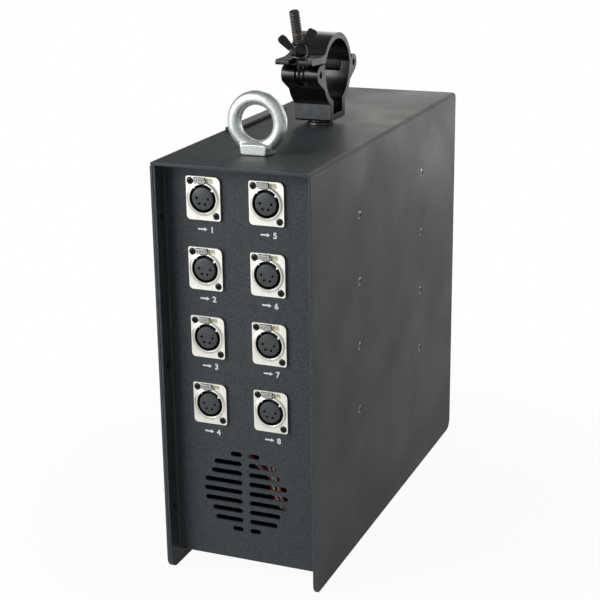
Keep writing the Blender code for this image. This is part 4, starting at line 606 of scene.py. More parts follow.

# %% [markdown]
# Each output socket is a die-cast nickel housing on a flange of 26 by 31 millimetres whose four
# corners differ: two are tight, two are wide. A raised ring surrounds the bore. The shape is drawn
# once, as a flat outline, a turned barrel with its bore, and three small carved places, and all
# eight housings share the one mesh. Sharing keeps the file small and the sockets truly alike. The
# bore's wall and the latch's pocket get painted shade: a black finish, for the little light that
# gets in there. The sunk place beside the latch gets painted shade too, a darker nickel than the
# plating round it.

# %% The socket housing
SEAM = 0.0003
FLANGE = (0.026, 0.031, 0.0016)
FLANGE_CORNERS = (0.004, 0.0015, 0.003, 0.0018)
FLANGE_SCREWS = ((-0.0097, 0.0121), (0.0097, -0.0121))
FLANGE_SCREW_HOLE = 0.0026
BORE = 0.010
BARREL = 0.0118
BARREL_LENGTH = 0.021
RING_FOOT = 0.0126
RING_RIM = 0.0112
RING_HEIGHT = 0.0013
LATCH = (-0.0068, 0.0108, 0.0088, 0.0036)
LATCH_GAP = 0.0004
FACE = -SEAM - FLANGE[2]
RIM = FACE - RING_HEIGHT
INTO_PANEL = Matrix.Rotation(math.radians(-90), 4, "X")
CUT_PAST = 0.003
ROUND = 72
NEAR = 0.0003


def rounded(width, height, corners, count=8):
    """An outline round the origin, with the radii of its corners from top right round to bottom right."""
    outline = []
    quarters = ((1, 1, 0), (-1, 1, 90), (-1, -1, 180), (1, -1, 270))
    for (side, rise, start), corner in zip(quarters, corners):
        x = side * (width / 2 - corner)
        y = rise * (height / 2 - corner)
        outline += arc(x, y, corner, start, start + 90, count)
    return outline


def housing_mesh():
    """A flange with its ring and barrel, the bore, the latch's pocket and two screw seats."""
    outline = rounded(*FLANGE[:2], FLANGE_CORNERS)
    flange = cut_piece("housing", outline, SEAM, -FACE, FACING_FRONT)
    barrel = turned_piece("barrel", [
        (0, RIM), (RING_RIM - 0.0005, RIM), (RING_RIM - 0.0001, RIM + 0.0001),
        (RING_RIM + 0.0003, RIM + 0.0005), (RING_RIM + 0.0006, RIM + 0.0009),
        (RING_RIM + 0.0010, RIM + 0.0012), (RING_FOOT, FACE), (RING_FOOT, FACE / 2),
        (BARREL, FACE / 2), (BARREL, BARREL_LENGTH - SEAM), (0, BARREL_LENGTH - SEAM),
    ], ROUND, INTO_PANEL)
    unite(flange, barrel)
    bore = turned_piece("bore", [
        (0, RIM - CUT_PAST), (BORE + 0.0004 + CUT_PAST, RIM - CUT_PAST), (BORE, RIM + 0.0004),
        (BORE, BARREL_LENGTH - 0.0023), (0, BARREL_LENGTH - 0.0023),
    ], ROUND, INTO_PANEL)
    left, low, width, height = LATCH
    outline = rectangle(
        left - LATCH_GAP, low - LATCH_GAP, left + width + LATCH_GAP, low + height + LATCH_GAP
    )
    pocket = cut_piece("pocket", outline, SEAM / 2, -RIM + CUT_PAST, FACING_FRONT)
    sunk_left = left + width + 0.0006
    outline = [(sunk_left, low + 0.0002), (sunk_left + 0.0056, low + 0.0002)]
    outline += [(sunk_left + 0.0050, low + height), (sunk_left, low + height)]
    sunk = cut_piece("sunk", outline, -FACE - 0.0010, -RIM + CUT_PAST, FACING_FRONT)
    seat = [(0, FACE - CUT_PAST), (FLANGE_SCREW_HOLE, FACE - CUT_PAST)]
    seat += [(FLANGE_SCREW_HOLE, FACE + 0.0009), (0, FACE + 0.0009)]
    seats = []
    for x, z in FLANGE_SCREWS:
        place = Matrix.Translation((x, 0, z)) @ INTO_PANEL
        seats.append(turned_piece("screw_hole", seat, 32, place))
    carve(flange, bore, pocket, sunk, *seats)
    return taken_mesh(flange, satin_nickel, bore_shade_black, painted_shade_nickel)


housing = housing_mesh()
left, low, width, height = LATCH
# Painted shade: the bore's wall and the latch's pocket take the black slot, the sunk place the darker
# nickel.
for face in housing.polygons:
    x, y, z = face.center
    inside = math.hypot(x, z) < BORE + 0.00005 and y > RIM + 0.0003
    beside = left - NEAR < x < left + width + NEAR and low - NEAR < z < low + height + NEAR
    if inside and (abs(face.normal.y) < 0.3 or y > RIM + 0.01):
        face.material_index = 1
    elif y > FACE + 0.0004 and beside:
        face.material_index = 1
    elif y > FACE + 0.0002 and x > left + width + 0.0004 and low < z < low + height + 0.001:
        face.material_index = 2
print("housing", len(housing.polygons), "faces")

# %% [markdown]
# Inside the bore sits the contact carrier, a dark moulded plug with four contact holes on a circle.
# In the photograph the right-hand hole shows the gilt of its contact. The holes are carved, and
# each gets a gilt sleeve a little below the face, so that a glint appears where the light reaches
# in. Two small keys on the bore's wall guide a plug.

# %% The contact carrier
CARRIER = 0.00805
CARRIER_FOOT = 0.0097
CONTACT_CIRCLE = 0.0043
CONTACT_HOLE = 0.0009
CONTACT_ANGLES = (175, 236, 297, 358)
KEYS = ((39, 0.0013, 0.0012), (130, 0.0008, 0.0007))

carrier_nylon = moulded("carrier_nylon", (0.033, 0.038, 0.041), (0.055, 0.062, 0.066), 0.36)
gilt = plated("gilt", (0.86, 0.66, 0.30), (0.62, 0.46, 0.20), 0.0008, 0.2, 0.35, 0.0004, 0.00001)


def at_contact(angle):
    """The place of a contact on its circle, facing into the panel."""
    turn = math.radians(angle)
    place = (CONTACT_CIRCLE * math.cos(turn), 0, CONTACT_CIRCLE * math.sin(turn))
    return Matrix.Translation(place) @ INTO_PANEL


def carrier_mesh():
    """The moulded plug with its contact holes."""
    plug = turned_piece("plug", [
        (0, RIM), (CARRIER - 0.0005, RIM), (CARRIER - 0.0002, RIM + 0.0001), (CARRIER, RIM + 0.0004),
        (CARRIER, BARREL_LENGTH - 0.0055), (CARRIER_FOOT, BARREL_LENGTH - 0.0055),
        (CARRIER_FOOT, BARREL_LENGTH - 0.0026), (0.0072, BARREL_LENGTH - 0.0026),
        (0.0072, BARREL_LENGTH + 0.0054), (0, BARREL_LENGTH + 0.0054),
    ], 64, INTO_PANEL)
    hole = [
        (0, RIM - CUT_PAST), (CONTACT_HOLE + 0.0002 + CUT_PAST, RIM - CUT_PAST),
        (CONTACT_HOLE, RIM + 0.0002), (CONTACT_HOLE, RIM + 0.007), (0, RIM + 0.007),
    ]
    holes = [turned_piece("contact_hole", hole, 20, at_contact(angle)) for angle in CONTACT_ANGLES]
    carve(plug, *holes)
    return taken_mesh(plug, carrier_nylon)


def sleeves_mesh():
    """Four gilt sleeves that line the contact holes below the face."""
    outer = CONTACT_HOLE - 0.00003
    inner = CONTACT_HOLE - 0.00025
    start = RIM + 0.0011
    end = RIM + 0.0068
    profile = [(inner, start), (outer, start + 0.0001), (outer, end), (inner, end), (inner, start)]
    made = [turned("sleeve", profile, 16, at_contact(angle)) for angle in CONTACT_ANGLES]
    return gathered("sleeves", made)


def keys_mesh():
    """Two keys that stand inward from the bore's wall."""
    made = []
    for angle, width, height in KEYS:
        turn = Matrix.Rotation(math.radians(-angle), 4, "Y")
        place = turn @ Matrix.Translation((BORE - height / 2 + 0.0003, 0, 0)) @ FACING_FRONT
        outline = rounded(height + 0.0006, width, (0.0002,) * 4, 3)
        made.append(cut_sheet("key", outline, -RIM - 0.008, -RIM - 0.0002, place))
    return gathered("keys", made)


carrier = carrier_mesh()
sleeves = sleeves_mesh()
sleeves.materials.append(gilt)
keys = keys_mesh()
keys.materials.append(satin_nickel)
print("carrier", len(carrier.polygons), "faces,", len(CONTACT_ANGLES), "contacts")

# %% [markdown]
# The latch that frees a plug is a small plated tab at the top left of the ring, with upright grip
# ribs for a finger. A bump could draw the ribs, but they are modelled, because modelled ones catch
# the light one by one and still look right from the side.

# %% The latch tab
TAB_PROUD = 0.0010
TAB_SHEET = 0.0012
RIBS = 6


def latch_mesh():
    """A tab with upright ribs, on a stem that runs back through the panel."""
    left, low, width, height = LATCH
    middle = Matrix.Translation((left + width / 2, 0, low + height / 2))
    front = -FACE + TAB_PROUD
    ribbed = width - 0.0024
    outline = rounded(width, height, (0.0009,) * 4, 5)
    parts = [cut_sheet("tab", outline, front - TAB_SHEET, front, middle @ FACING_FRONT)]
    outline = rounded(ribbed, 0.0020, (0.0002,) * 4, 2)
    place = middle @ Matrix.Translation((0, 0, 0.0006)) @ FACING_FRONT
    parts.append(cut_sheet("stem", outline, -0.010, front - TAB_SHEET / 2, place))
    pitch = ribbed / (RIBS - 1)
    outline = rounded(pitch * 0.5, height - 0.0014, (pitch * 0.2,) * 4, 3)
    for i in range(RIBS):
        place = middle @ Matrix.Translation(((i - (RIBS - 1) / 2) * pitch, 0, 0)) @ FACING_FRONT
        parts.append(cut_sheet("rib", outline, front - 0.0001, front + 0.0006, place))
    return gathered("latch", parts)


latch = latch_mesh()
latch.materials.append(pewter)
print("latch", RIBS, "ribs")

# %% [markdown]
# Two black screws with a cross recess hold each flange, one top left and one bottom right. A screw
# head is a low dome, and the cross is carved into it. The heads are turned to different angles, as
# a hand leaves them.

# %% Screws with a cross recess


def cross_screw_mesh(name, radius, dome, depth, cross=0.62):
    """A screw head about the origin that faces -Y; its rim is at y = 0."""
    profile = [(0, -dome)]
    for step in range(1, 7):
        angle = math.radians(90 * step / 6)
        profile.append((radius * math.sin(angle), -dome * math.cos(angle)))
    profile += [(radius, depth), (0, depth)]
    head = turned_piece(name, profile, 32, INTO_PANEL)
    outline = rounded(radius * cross * 2, radius * 0.26, (radius * 0.06,) * 4, 2)
    slots = []
    for turn in (0, 90):
        place = Matrix.Rotation(math.radians(turn), 4, "Y") @ FACING_FRONT
        slots.append(cut_piece("slot", outline, -depth * 0.7, dome + 0.001, place))
    carve(head, *slots)
    head.data.name = name
    return taken_mesh(head, screw_black)


def shared(name, mesh, place, body):
    """One more object from a mesh that several share."""
    piece = bpy.data.objects.new(name, mesh)
    piece.matrix_world = place
    bpy.context.scene.collection.objects.link(piece)
    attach(piece, body)
    return piece


flange_screw = cross_screw_mesh("flange_screw", FLANGE_SCREW_HOLE - 0.0001, 0.0007, 0.0008)
print("flange screw", len(flange_screw.polygons), "faces")

# %% [markdown]
# Now the eight sockets are set out: left column from the top, then the right column, which is also
# the order of their numbers. Each finer piece stands for its solid, which is hidden, and each rides
# on the body that carries it. The latch tabs ride on their own bodies, because each of them moves.

# %% Set out the sockets
COLUMNS = (-0.02545, 0.02226)
TOP_ROW = 0.28675
ROW_PITCH = 0.05085
PANEL_FRONT = -0.1563
SMOOTH_SOCKET = math.radians(35)
SOCKET_EDGE = 0.00022
TAB_EDGE = 0.00012

centres = [(x, TOP_ROW - row * ROW_PITCH) for x in COLUMNS for row in range(4)]
for mesh in (housing, carrier, latch, sleeves, keys, flange_screw):
    mesh.shade_smooth()
    mesh.set_sharp_from_angle(angle=SMOOTH_SOCKET)
for number, (x, z) in enumerate(centres, 1):
    place = Matrix.Translation((x, PANEL_FRONT, z))
    shell = shared(f"socket_housing_{number}", housing, place, "box")
    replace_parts(shell, f"output_shell_{number}")
    round_edges(shell, SOCKET_EDGE, angle=SMOOTH_SOCKET)
    plug = shared(f"contact_carrier_{number}", carrier, place, "box")
    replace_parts(plug, f"output_insert_{number}")
    shared(f"contact_sleeves_{number}", sleeves, place, "box")
    shared(f"socket_keys_{number}", keys, place, "box")
    tab = shared(f"latch_tab_{number}", latch, place, f"latch_{number}")
    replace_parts(tab, f"output_latch_{number}")
    round_edges(tab, TAB_EDGE, angle=SMOOTH_SOCKET)
    for side, (sx, sz) in enumerate(FLANGE_SCREWS):
        turn = Matrix.Rotation(math.radians(37 * number + 53 * side), 4, "Y")
        head = Matrix.Translation((x + sx, PANEL_FRONT + FACE + 0.0001, z + sz)) @ turn
        shared(f"flange_screw_{number}_{side + 1}", flange_screw, head, "box")
print("sockets", len(centres))

# %% [markdown]
# A small white print under each socket gives its number beside a plain arrow. The figures are text
# objects with a tiny thickness, which is how screen print sits on powder coat, and the ink is a
# matt off-white with a little wear.

# %% The labels under the sockets
LABEL_DROP = 0.0225
LABEL_SHIFT = 0.0006
LABEL_HEIGHT = 0.0041
INK_SHEET = 0.00008
INK_SPREAD = 0.00018
FIGURE_SHIFT = 0.0047
ARROW_SHIFT = 0.0026
ARROW = (0.0072, LABEL_HEIGHT * 0.82)

label_ink, tree, shader = surface("label_ink", (0.80, 0.81, 0.80), 0.55)
patchy(tree, shader, 0.0005, 3.0, 0.30, 0.42, (0.55, 0.56, 0.56), (0.84, 0.85, 0.84))
relief(tree, shader, grain(tree, COAT_LUMP, 2.0), COAT_DEPTH)


def arrow_mesh(length, height):
    """A plain arrow that points to the right, drawn as one outline and turned round."""
    shaft = height * 0.17
    barb = height * 0.42
    head = height * 0.72
    tip = -length / 2
    neck = tip + head
    outline = [(tip, 0), (neck, -barb), (neck, -shaft), (-tip, -shaft)]
    outline += [(-tip, shaft), (neck, shaft), (neck, barb)]
    mesh = cut_sheet("arrow", outline, 0, INK_SHEET, FACING_FRONT @ Matrix.Rotation(math.pi, 4, "Z"))
    mesh.materials.append(label_ink)
    return mesh


arrow = arrow_mesh(*ARROW)
for number, (x, z) in enumerate(centres, 1):
    figure_data = bpy.data.curves.new(f"label_figure_{number}", "FONT")
    figure_data.body = str(number)
    figure_data.size = LABEL_HEIGHT / 0.69
    figure_data.extrude = INK_SHEET / 2
    figure_data.offset = INK_SPREAD
    figure_data.align_x = "CENTER"
    figure_data.materials.append(label_ink)
    figure = bpy.data.objects.new(f"label_figure_{number}", figure_data)
    middle_x = x + LABEL_SHIFT
    low_z = z - LABEL_DROP - LABEL_HEIGHT / 2
    figure_place = (middle_x + FIGURE_SHIFT, PANEL_FRONT - INK_SHEET / 2, low_z)
    figure.matrix_world = Matrix.Translation(figure_place) @ FACING_FRONT
    bpy.context.scene.collection.objects.link(figure)
    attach(figure, "box")
    place = Matrix.Translation((middle_x - ARROW_SHIFT, PANEL_FRONT, z - LABEL_DROP))
    shared(f"label_arrow_{number}", arrow, place, "box")
print("labels", LABEL_HEIGHT * 1000, "mm high")

# %% [markdown]
# The truss clamp is cut from an aluminium extrusion, so its shape is one outline along its whole
# width: a block with a channel below, a cradle for the tube, and a knuckle at each side. The jaw
# above it is an arch with a flange in front. Both outlines are drawn with arcs, in heights above
# the top of the box, then slots and pin holes are carved across them, and the edges are broken a
# little. The sawn ends get the paler finish, and the block's upright faces a painted sheen.

# %% The clamp's outlines
TOP = 0.3125
CLAMP_Y = 0.0006
CLAMP_HALF = 0.0147
PIN_SIDE = 0.0355
PIN_RISE = 0.0432
PIN_HOLE = 0.0027
TUBE_RISE = 0.0435
CRADLE = 0.0254
CRADLE_OUTER = 0.0302
MOUTH = 0.0267
CRADLE_TOP = 0.0500
BASE_HALF = 0.0158
BASE_LOW = 0.0045
BASE_EDGE = 0.002
CHANNEL_HALF = 0.0092
CHANNEL_FLOOR = 0.0091
KNUCKLE = 0.0068
HINGE_SEAT = 0.0455


def on_clamp(points):
    """Points in heights above the top, moved to the clamp's place."""
    return [(CLAMP_Y + y, TOP + z) for y, z in points]


def body_outline():
    """The lower half's outline, from the block's front corner round to its rear corner."""
    base = math.degrees(math.acos(BASE_HALF / CRADLE_OUTER))
    channel = math.degrees(math.acos(CHANNEL_HALF / CRADLE))
    outline = arc(-BASE_HALF + BASE_EDGE, BASE_LOW + BASE_EDGE, BASE_EDGE, 270, 180, 6)
    outline += arc(0, TUBE_RISE, CRADLE_OUTER, 180 + base, 205, 14)
    outline += arc(-PIN_SIDE, PIN_RISE, KNUCKLE, 235, 90, 22)
    outline += [(-MOUTH, CRADLE_TOP), (-MOUTH, TUBE_RISE)]
    outline += arc(0, TUBE_RISE, CRADLE, 195, 180 + channel, 16)
    outline += [(-CHANNEL_HALF, CHANNEL_FLOOR), (CHANNEL_HALF, CHANNEL_FLOOR)]
    outline += arc(0, TUBE_RISE, CRADLE, 360 - channel, 345, 16)
    lug_start = 180 - math.degrees(math.asin((HINGE_SEAT - PIN_RISE) / KNUCKLE))
    outline += [(MOUTH, TUBE_RISE), (MOUTH, HINGE_SEAT)]
    outline += arc(PIN_SIDE, PIN_RISE, KNUCKLE, lug_start, -55, 30)
    outline += arc(0, TUBE_RISE, CRADLE_OUTER, 335, 360 - base, 14)
    outline += arc(BASE_HALF - BASE_EDGE, BASE_LOW + BASE_EDGE, BASE_EDGE, 360, 270, 6)
    return outline


print("clamp outline", len(body_outline()), "points")

# %% Carve the clamp's lower half
BOLT_SLOT = 0.0041
SLOT_BACK = 0.0290
TONGUE_SLOT = 0.0073
TONGUE = 0.0068
TONGUE_FLOOR = 0.0378
CLAMP_EDGE = 0.0004


def block(name, low, high):
    """A box between two corners, used to carve."""
    return cut_piece(name, rectangle(low[0], low[1], high[0], high[1]), low[2], high[2])


def across_rod(name, y, z, radius, half_width):
    """A round rod along X, used to drill a pin hole."""
    profile = [(0, -half_width), (radius, -half_width), (radius, half_width), (0, half_width)]
    return turned_piece(name, profile, 32, Matrix.Translation((0, y, z)) @ ALONG_X)


def sawn_ends(piece):
    """Large faces that look along X take the second slot; the base block's upright faces take the third, a
    painted sheen.
    """
    for face in piece.data.polygons:
        sawn = abs(face.normal.x) > 0.95 and face.area > 0.00003
        outside = abs(face.center.y - CLAMP_Y) > CHANNEL_HALF + 0.003
        low_down = face.center.z < TOP + CHANNEL_FLOOR + 0.012
        face.material_index = 1 if sawn else 0
        if outside and low_down and abs(face.normal.y) > 0.95:
            face.material_index = 2


floor_angle = math.degrees(math.asin((PIN_RISE - TONGUE_FLOOR) / TONGUE_SLOT))
tongue_room = [(MOUTH - 0.004, TONGUE_FLOOR)]
tongue_room += arc(PIN_SIDE, PIN_RISE, TONGUE_SLOT, floor_angle - 180, 90, 36)
tongue_room += [(MOUTH - 0.004, PIN_RISE + TONGUE_SLOT)]
lower = cut_piece(
    "clamp_lower_half", on_clamp(body_outline()), -CLAMP_HALF, CLAMP_HALF, FACING_RIGHT,
    (anodised_black, anodised_end, painted_sheen_anodised),
)
front_y = CLAMP_Y - PIN_SIDE
rear_y = CLAMP_Y + PIN_SIDE
pin_z = TOP + PIN_RISE
slot_top = TOP + CRADLE_TOP + CUT_PAST
slot_low = (-BOLT_SLOT, front_y - 0.012, pin_z - 0.0085)
carve(
    lower,
    block("bolt_slot", slot_low, (BOLT_SLOT, CLAMP_Y - SLOT_BACK, slot_top)),
    block("shank_room", (-BOLT_SLOT, front_y, pin_z), (BOLT_SLOT, CLAMP_Y - MOUTH + CUT_PAST, slot_top)),
    cut_piece("tongue_slot", on_clamp(tongue_room), -TONGUE_SLOT, TONGUE_SLOT, FACING_RIGHT),
    across_rod("front_pin_hole", front_y, pin_z, PIN_HOLE, CLAMP_HALF + CUT_PAST),
    across_rod("rear_pin_hole", rear_y, pin_z, PIN_HOLE, CLAMP_HALF + CUT_PAST),
)
sawn_ends(lower)
smooth_faces(lower)
round_edges(lower, CLAMP_EDGE)
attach(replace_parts(lower, "clamp_body"), "clamp")
print("clamp lower half", len(lower.data.polygons), "faces")

# %% Carve the jaw
JAW_RISE = 0.042
JAW_INNER = (0.0266, 0.024)
JAW_OUTER = (0.0306, 0.0286)
JAW_LOW = 0.0507
JAW_REAR_LOW = 0.0458
JAW_TIP = 0.0526
JAW_FLANGE = (0.0523, 0.0038)
JAW_SLOT = (0.0041, 0.0300)


def ellipse(size, start, end, count):
    """Points on an ellipse round the jaw's middle, from one angle to another."""
    angles = [math.radians(start + (end - start) * i / count) for i in range(count + 1)]
    return [(size[0] * math.cos(a), JAW_RISE + size[1] * math.sin(a)) for a in angles]


def jaw_outline():
    """The arch and its flange, from the rear over the top to the front and back inside."""
    low_inner = math.degrees(math.asin((JAW_LOW - JAW_RISE) / JAW_INNER[1]))
    rear_inner = math.degrees(math.asin((JAW_REAR_LOW - JAW_RISE) / JAW_INNER[1]))
    rear_outer = math.degrees(math.asin((JAW_REAR_LOW - JAW_RISE) / JAW_OUTER[1]))
    flange_low = JAW_FLANGE[0]
    flange_top = flange_low + JAW_FLANGE[1]
    meet = math.degrees(math.asin((flange_top + 0.0015 - JAW_RISE) / JAW_OUTER[1]))
    outline = ellipse(JAW_OUTER, rear_outer, 180 - meet, 44)
    outline += [(-JAW_OUTER[0] - 0.0008, flange_top + 0.0005), (-JAW_OUTER[0] - 0.003, flange_top)]
    outline += arc(-JAW_TIP + 0.001, flange_top - 0.001, 0.001, 90, 180, 5)
    outline += arc(-JAW_TIP + 0.001, flange_low + 0.001, 0.001, 180, 270, 5)
    outline += [(-JAW_OUTER[0], JAW_LOW + 0.0006)]
    outline += ellipse(JAW_INNER, 180 - low_inner, rear_inner, 44)
    return outline


tongue_low = TONGUE_FLOOR + SEAM
barrel_angle = math.degrees(math.asin((PIN_RISE - tongue_low) / KNUCKLE))
tongue_points = arc(PIN_SIDE, PIN_RISE, KNUCKLE, barrel_angle - 180, 60, 34)
tongue_points += [(JAW_OUTER[0] - 0.002, JAW_LOW + 0.004), (JAW_INNER[0] + 0.0004, JAW_LOW)]
tongue_points += [(JAW_INNER[0] + 0.0002, PIN_RISE - 0.0015), (JAW_INNER[0] + 0.0008, tongue_low + 0.001)]
tongue_points += [(JAW_INNER[0] + 0.0018, tongue_low)]
jaw = cut_piece(
    "clamp_upper_jaw", on_clamp(jaw_outline()), -CLAMP_HALF, CLAMP_HALF, FACING_RIGHT,
    (anodised_black, anodised_end),
)
lug = on_clamp(arc(PIN_SIDE, PIN_RISE, KNUCKLE + SEAM, 0, 354.375, 63))
reliefs = []
for side in (-1, 1):
    ends = sorted((side * (TONGUE + 0.00025), side * (CLAMP_HALF + CUT_PAST)))
    reliefs.append(cut_piece("lug_relief", lug, *ends, FACING_RIGHT))
carve(jaw, *reliefs)
unite(jaw, cut_piece("tongue", on_clamp(tongue_points), -TONGUE, TONGUE, FACING_RIGHT))
slot_half, slot_reach = JAW_SLOT
slot_z = TOP + JAW_FLANGE[0]
slot_low = (-slot_half, CLAMP_Y - JAW_TIP - CUT_PAST, slot_z - CUT_PAST)
carve(
    jaw,
    block("jaw_slot", slot_low, (slot_half, CLAMP_Y - slot_reach, slot_z + 0.008)),
    across_rod("jaw_pin_hole", rear_y, pin_z, PIN_HOLE, CLAMP_HALF),
)
sawn_ends(jaw)
smooth_faces(jaw)
round_edges(jaw, CLAMP_EDGE)
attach(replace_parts(jaw, "clamp_jaw"), "jaw")
print("jaw", len(jaw.data.polygons), "faces")

# %% [markdown]
# The swing bolt is an eye bolt with a coarse thread of two millimetres pitch. A thread can be made
# with the Screw modifier; here it is a rod whose radius rises and falls with the height and the
# turn together, which gives a closed mesh with a true helix. The eye below has two rounded rims
# with a groove between them. Above the nut the thread has a worn brown band, where the black has
# been rubbed off and the steel has rusted.

# %% The swing bolt
PITCH = 0.002
THREAD_CREST = 0.0039
THREAD_ROOT = 0.0032
THREAD_START = 0.0085
THREAD_END = 0.0506
BOLT_LEAN = math.radians(17)
BOLT_EYE = (0.0027, 0.0062, 0.0036)
EYE_GROOVE = 0.0011
WORN_BAND = (0.0332, 0.0022)
BOLT_BLACK = (0.004, 0.004, 0.004)
CREST_WORN_HIGHLIT = (0.085, 0.085, 0.080)
BOLT_RUST = (0.145, 0.088, 0.045)

bolt_frame = Matrix.Translation((0, front_y, pin_z)) @ Matrix.Rotation(BOLT_LEAN, 4, "X")


def skin(shape, rings):
    """Faces between rings of corners, and a cap at each end."""
    count = len(rings[0])
    for first, second in zip(rings, rings[1:]):
        for i in range(count):
            after = (i + 1) % count
            shape.faces.new((first[i], first[after], second[after], second[i]))
    shape.faces.new(rings[0][::-1])
    shape.faces.new(rings[-1])


def threaded_rod(name, start, thread_start, end, turns=36, steps=14):
    """A closed rod along local Z; above thread_start its radius follows a helix."""
    heights = [start, thread_start - 0.0004]
    levels = int((end - thread_start) / PITCH * steps) + 1
    heights += [thread_start + PITCH * i / steps for i in range(levels)]
    shape = bmesh.new()
    rings = []
    for height in heights:
        ring = []
        for i in range(turns):
            phase = (height / PITCH - i / turns) % 1
            ridge = min(1, max(0, 1.35 - abs(phase - 0.5) * 3.6))
            radius = THREAD_ROOT + (THREAD_CREST - THREAD_ROOT) * ridge
            if height < thread_start:
                radius = THREAD_CREST
            radius = min(radius, THREAD_ROOT + max(0, end - height))
            angle = math.tau * i / turns
            ring.append(shape.verts.new((radius * math.cos(angle), radius * math.sin(angle), height)))
        rings.append(ring)
    skin(shape, rings)
    return finished(shape, name)


bolt_steel, tree, shader = surface("bolt_steel", (0.005, 0.005, 0.005), 0.2)
along = node(tree, "ShaderNodeSeparateXYZ")
tree.links.new(on_the_piece(tree), along.inputs[0])
off_middle = arithmetic(tree, "SUBTRACT", along.outputs["Z"], WORN_BAND[0])
distance = arithmetic(tree, "ABSOLUTE", off_middle)
ragged = arithmetic(tree, "MULTIPLY_ADD", grain(tree, 0.0009, 3.0), 0.0018, distance)
worn = spread(tree, ragged, WORN_BAND[1], WORN_BAND[1] * 0.6)
from_axis = node(tree, "ShaderNodeVectorMath", operation="LENGTH")
tree.links.new(on_the_piece(tree, (1, 1, 0)), from_axis.inputs[0])
# The thread's crests get a paler colour than its roots: partly rubbed steel, partly a painted highlight.
crest = spread(tree, from_axis.outputs["Value"], THREAD_ROOT + 0.0003, THREAD_CREST - 0.0001)
above_eye = spread(tree, along.outputs["Z"], THREAD_START, THREAD_START + 0.0005)
on_thread = arithmetic(tree, "MULTIPLY", crest, above_eye)
rubbed = tint(tree, on_thread, BOLT_BLACK, CREST_WORN_HIGHLIT)
steel = tint(tree, worn, BOLT_BLACK, BOLT_RUST)
tree.links.new(rubbed, steel.node.inputs[6])
tree.links.new(steel, shader.inputs["Base Color"])
tree.links.new(spread(tree, worn, 0, 1, 0.20, 0.62), shader.inputs["Roughness"])
relief(tree, shader, grain(tree, 0.0004, 2.0), 0.00002)
shader.inputs["Specular IOR Level"].default_value = 0.7

rod_mesh = threaded_rod("swing_bolt_thread", 0.0045, THREAD_START, THREAD_END)
inner, outer, half_eye = BOLT_EYE
eye_profile = [(inner, -half_eye)]
for side in (-1, 1):
    for step in range(13):
        turn = math.pi * step / 12
        rim_x = side * half_eye / 2 - half_eye / 2 * math.cos(turn)
        eye_profile.append((outer - EYE_GROOVE + EYE_GROOVE * math.sin(turn), rim_x))
eye_profile += [(inner, half_eye), (inner, -half_eye)]
eye_mesh = turned("bolt_eye", eye_profile, 48, ALONG_X)
rod_mesh = gathered("swing_bolt", [rod_mesh, eye_mesh])
bolt = add_piece("threaded_swing_bolt", rod_mesh, bolt_steel)
bolt.matrix_world = bolt_frame
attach(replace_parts(bolt, "swing_bolt"), "bolt")
thread_turns = round((THREAD_END - THREAD_START) / PITCH)
print("swing bolt", len(rod_mesh.polygons), "faces,", thread_turns, "turns of thread")

# %% [markdown]
# The wing nut is a small casting: a conical hub with two paddles that lean out and up. Castings
# have no sharp corners where one form runs into another. The hub and the paddles are laid into one
# mesh, and a voxel Remesh melts them together; a Smooth modifier then softens the joints, which is
# quicker than modelling each fillet. The lifting eye further down is made the same way. The washer
# below the nut is black on its faces, and its rim is painted bright: a painted highlight, partly
# rubbed metal.

# %% The wing nut and its washer
NUT_SEAT = 0.0155
NUT_WASHER = 0.001
WASHER_RIM = 0.0057
NUT_HUB = 0.0085
NUT_TURN = math.radians(38)
WING = (0.0129, 0.0165, 0.0068, 0.0034)
WING_LEAN = math.radians(57)
WING_BACK = 0.0122
WING_CORNER = 0.0026
NUT_BORE = 0.0040
NUT_VOXEL = 0.00022


def melted(name, meshes, voxel, rounds, finish):
    """Several closed meshes, melted into one casting."""
    piece = add_piece(name, gathered(name, meshes), finish)
    melt = piece.modifiers.new("melt", "REMESH")
    melt.mode = "VOXEL"
    melt.voxel_size = voxel
    melt.use_smooth_shade = True
    soften = piece.modifiers.new("soften", "SMOOTH")
    soften.factor = 0.5
    soften.iterations = rounds
    return piece


hub = turned("hub", [
    (NUT_BORE, 0), (0.0062, 0), (0.0065, 0.0003), (0.0065, 0.002), (0.0062, 0.0045),
    (0.0057, NUT_HUB - 0.0008), (0.0051, NUT_HUB), (0.0043, NUT_HUB), (NUT_BORE, NUT_HUB - 0.0003),
    (NUT_BORE, 0),
], 48)
along = Vector((math.cos(WING_LEAN), math.sin(WING_LEAN)))
across = Vector((-along.y, along.x))
end = Vector(WING[:2])
start = end - along * WING_BACK
half_width = WING[2] / 2
outline = [start + across * half_width * 0.74, start - across * half_width * 0.74]
for sign in (-1, 1):
    centre = end - along * WING_CORNER + across * sign * (half_width - WING_CORNER)
    first = -90 if sign < 0 else 0
    for step in range(7):
        turn = math.radians(first + 90 * step / 6)
        outline.append(centre + (along * math.cos(turn) + across * math.sin(turn)) * WING_CORNER)
wings = []
for side in (-1, 1):
    mirrored = [(side * x, y) for x, y in outline]
    wings.append(cut_sheet("wing", mirrored, -WING[3] / 2, WING[3] / 2, FACING_FRONT))
nut = melted("cast_wing_nut", [hub, *wings], NUT_VOXEL, 3, black_oxide)
nut_place = Matrix.Translation((0, 0, NUT_SEAT + NUT_WASHER + SEAM))
nut.matrix_world = bolt_frame @ nut_place @ Matrix.Rotation(NUT_TURN, 4, "Z")
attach(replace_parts(nut, "wing_nut"), "nut")

washer = turned_piece("nut_washer_ring", [
    (NUT_BORE, 0), (0.00585, 0), (0.006, 0.00015), (0.006, NUT_WASHER - 0.00015),
    (0.00585, NUT_WASHER), (NUT_BORE, NUT_WASHER), (NUT_BORE, 0),
], 48, finishes=(black_oxide, rubbed_highlight_rim))
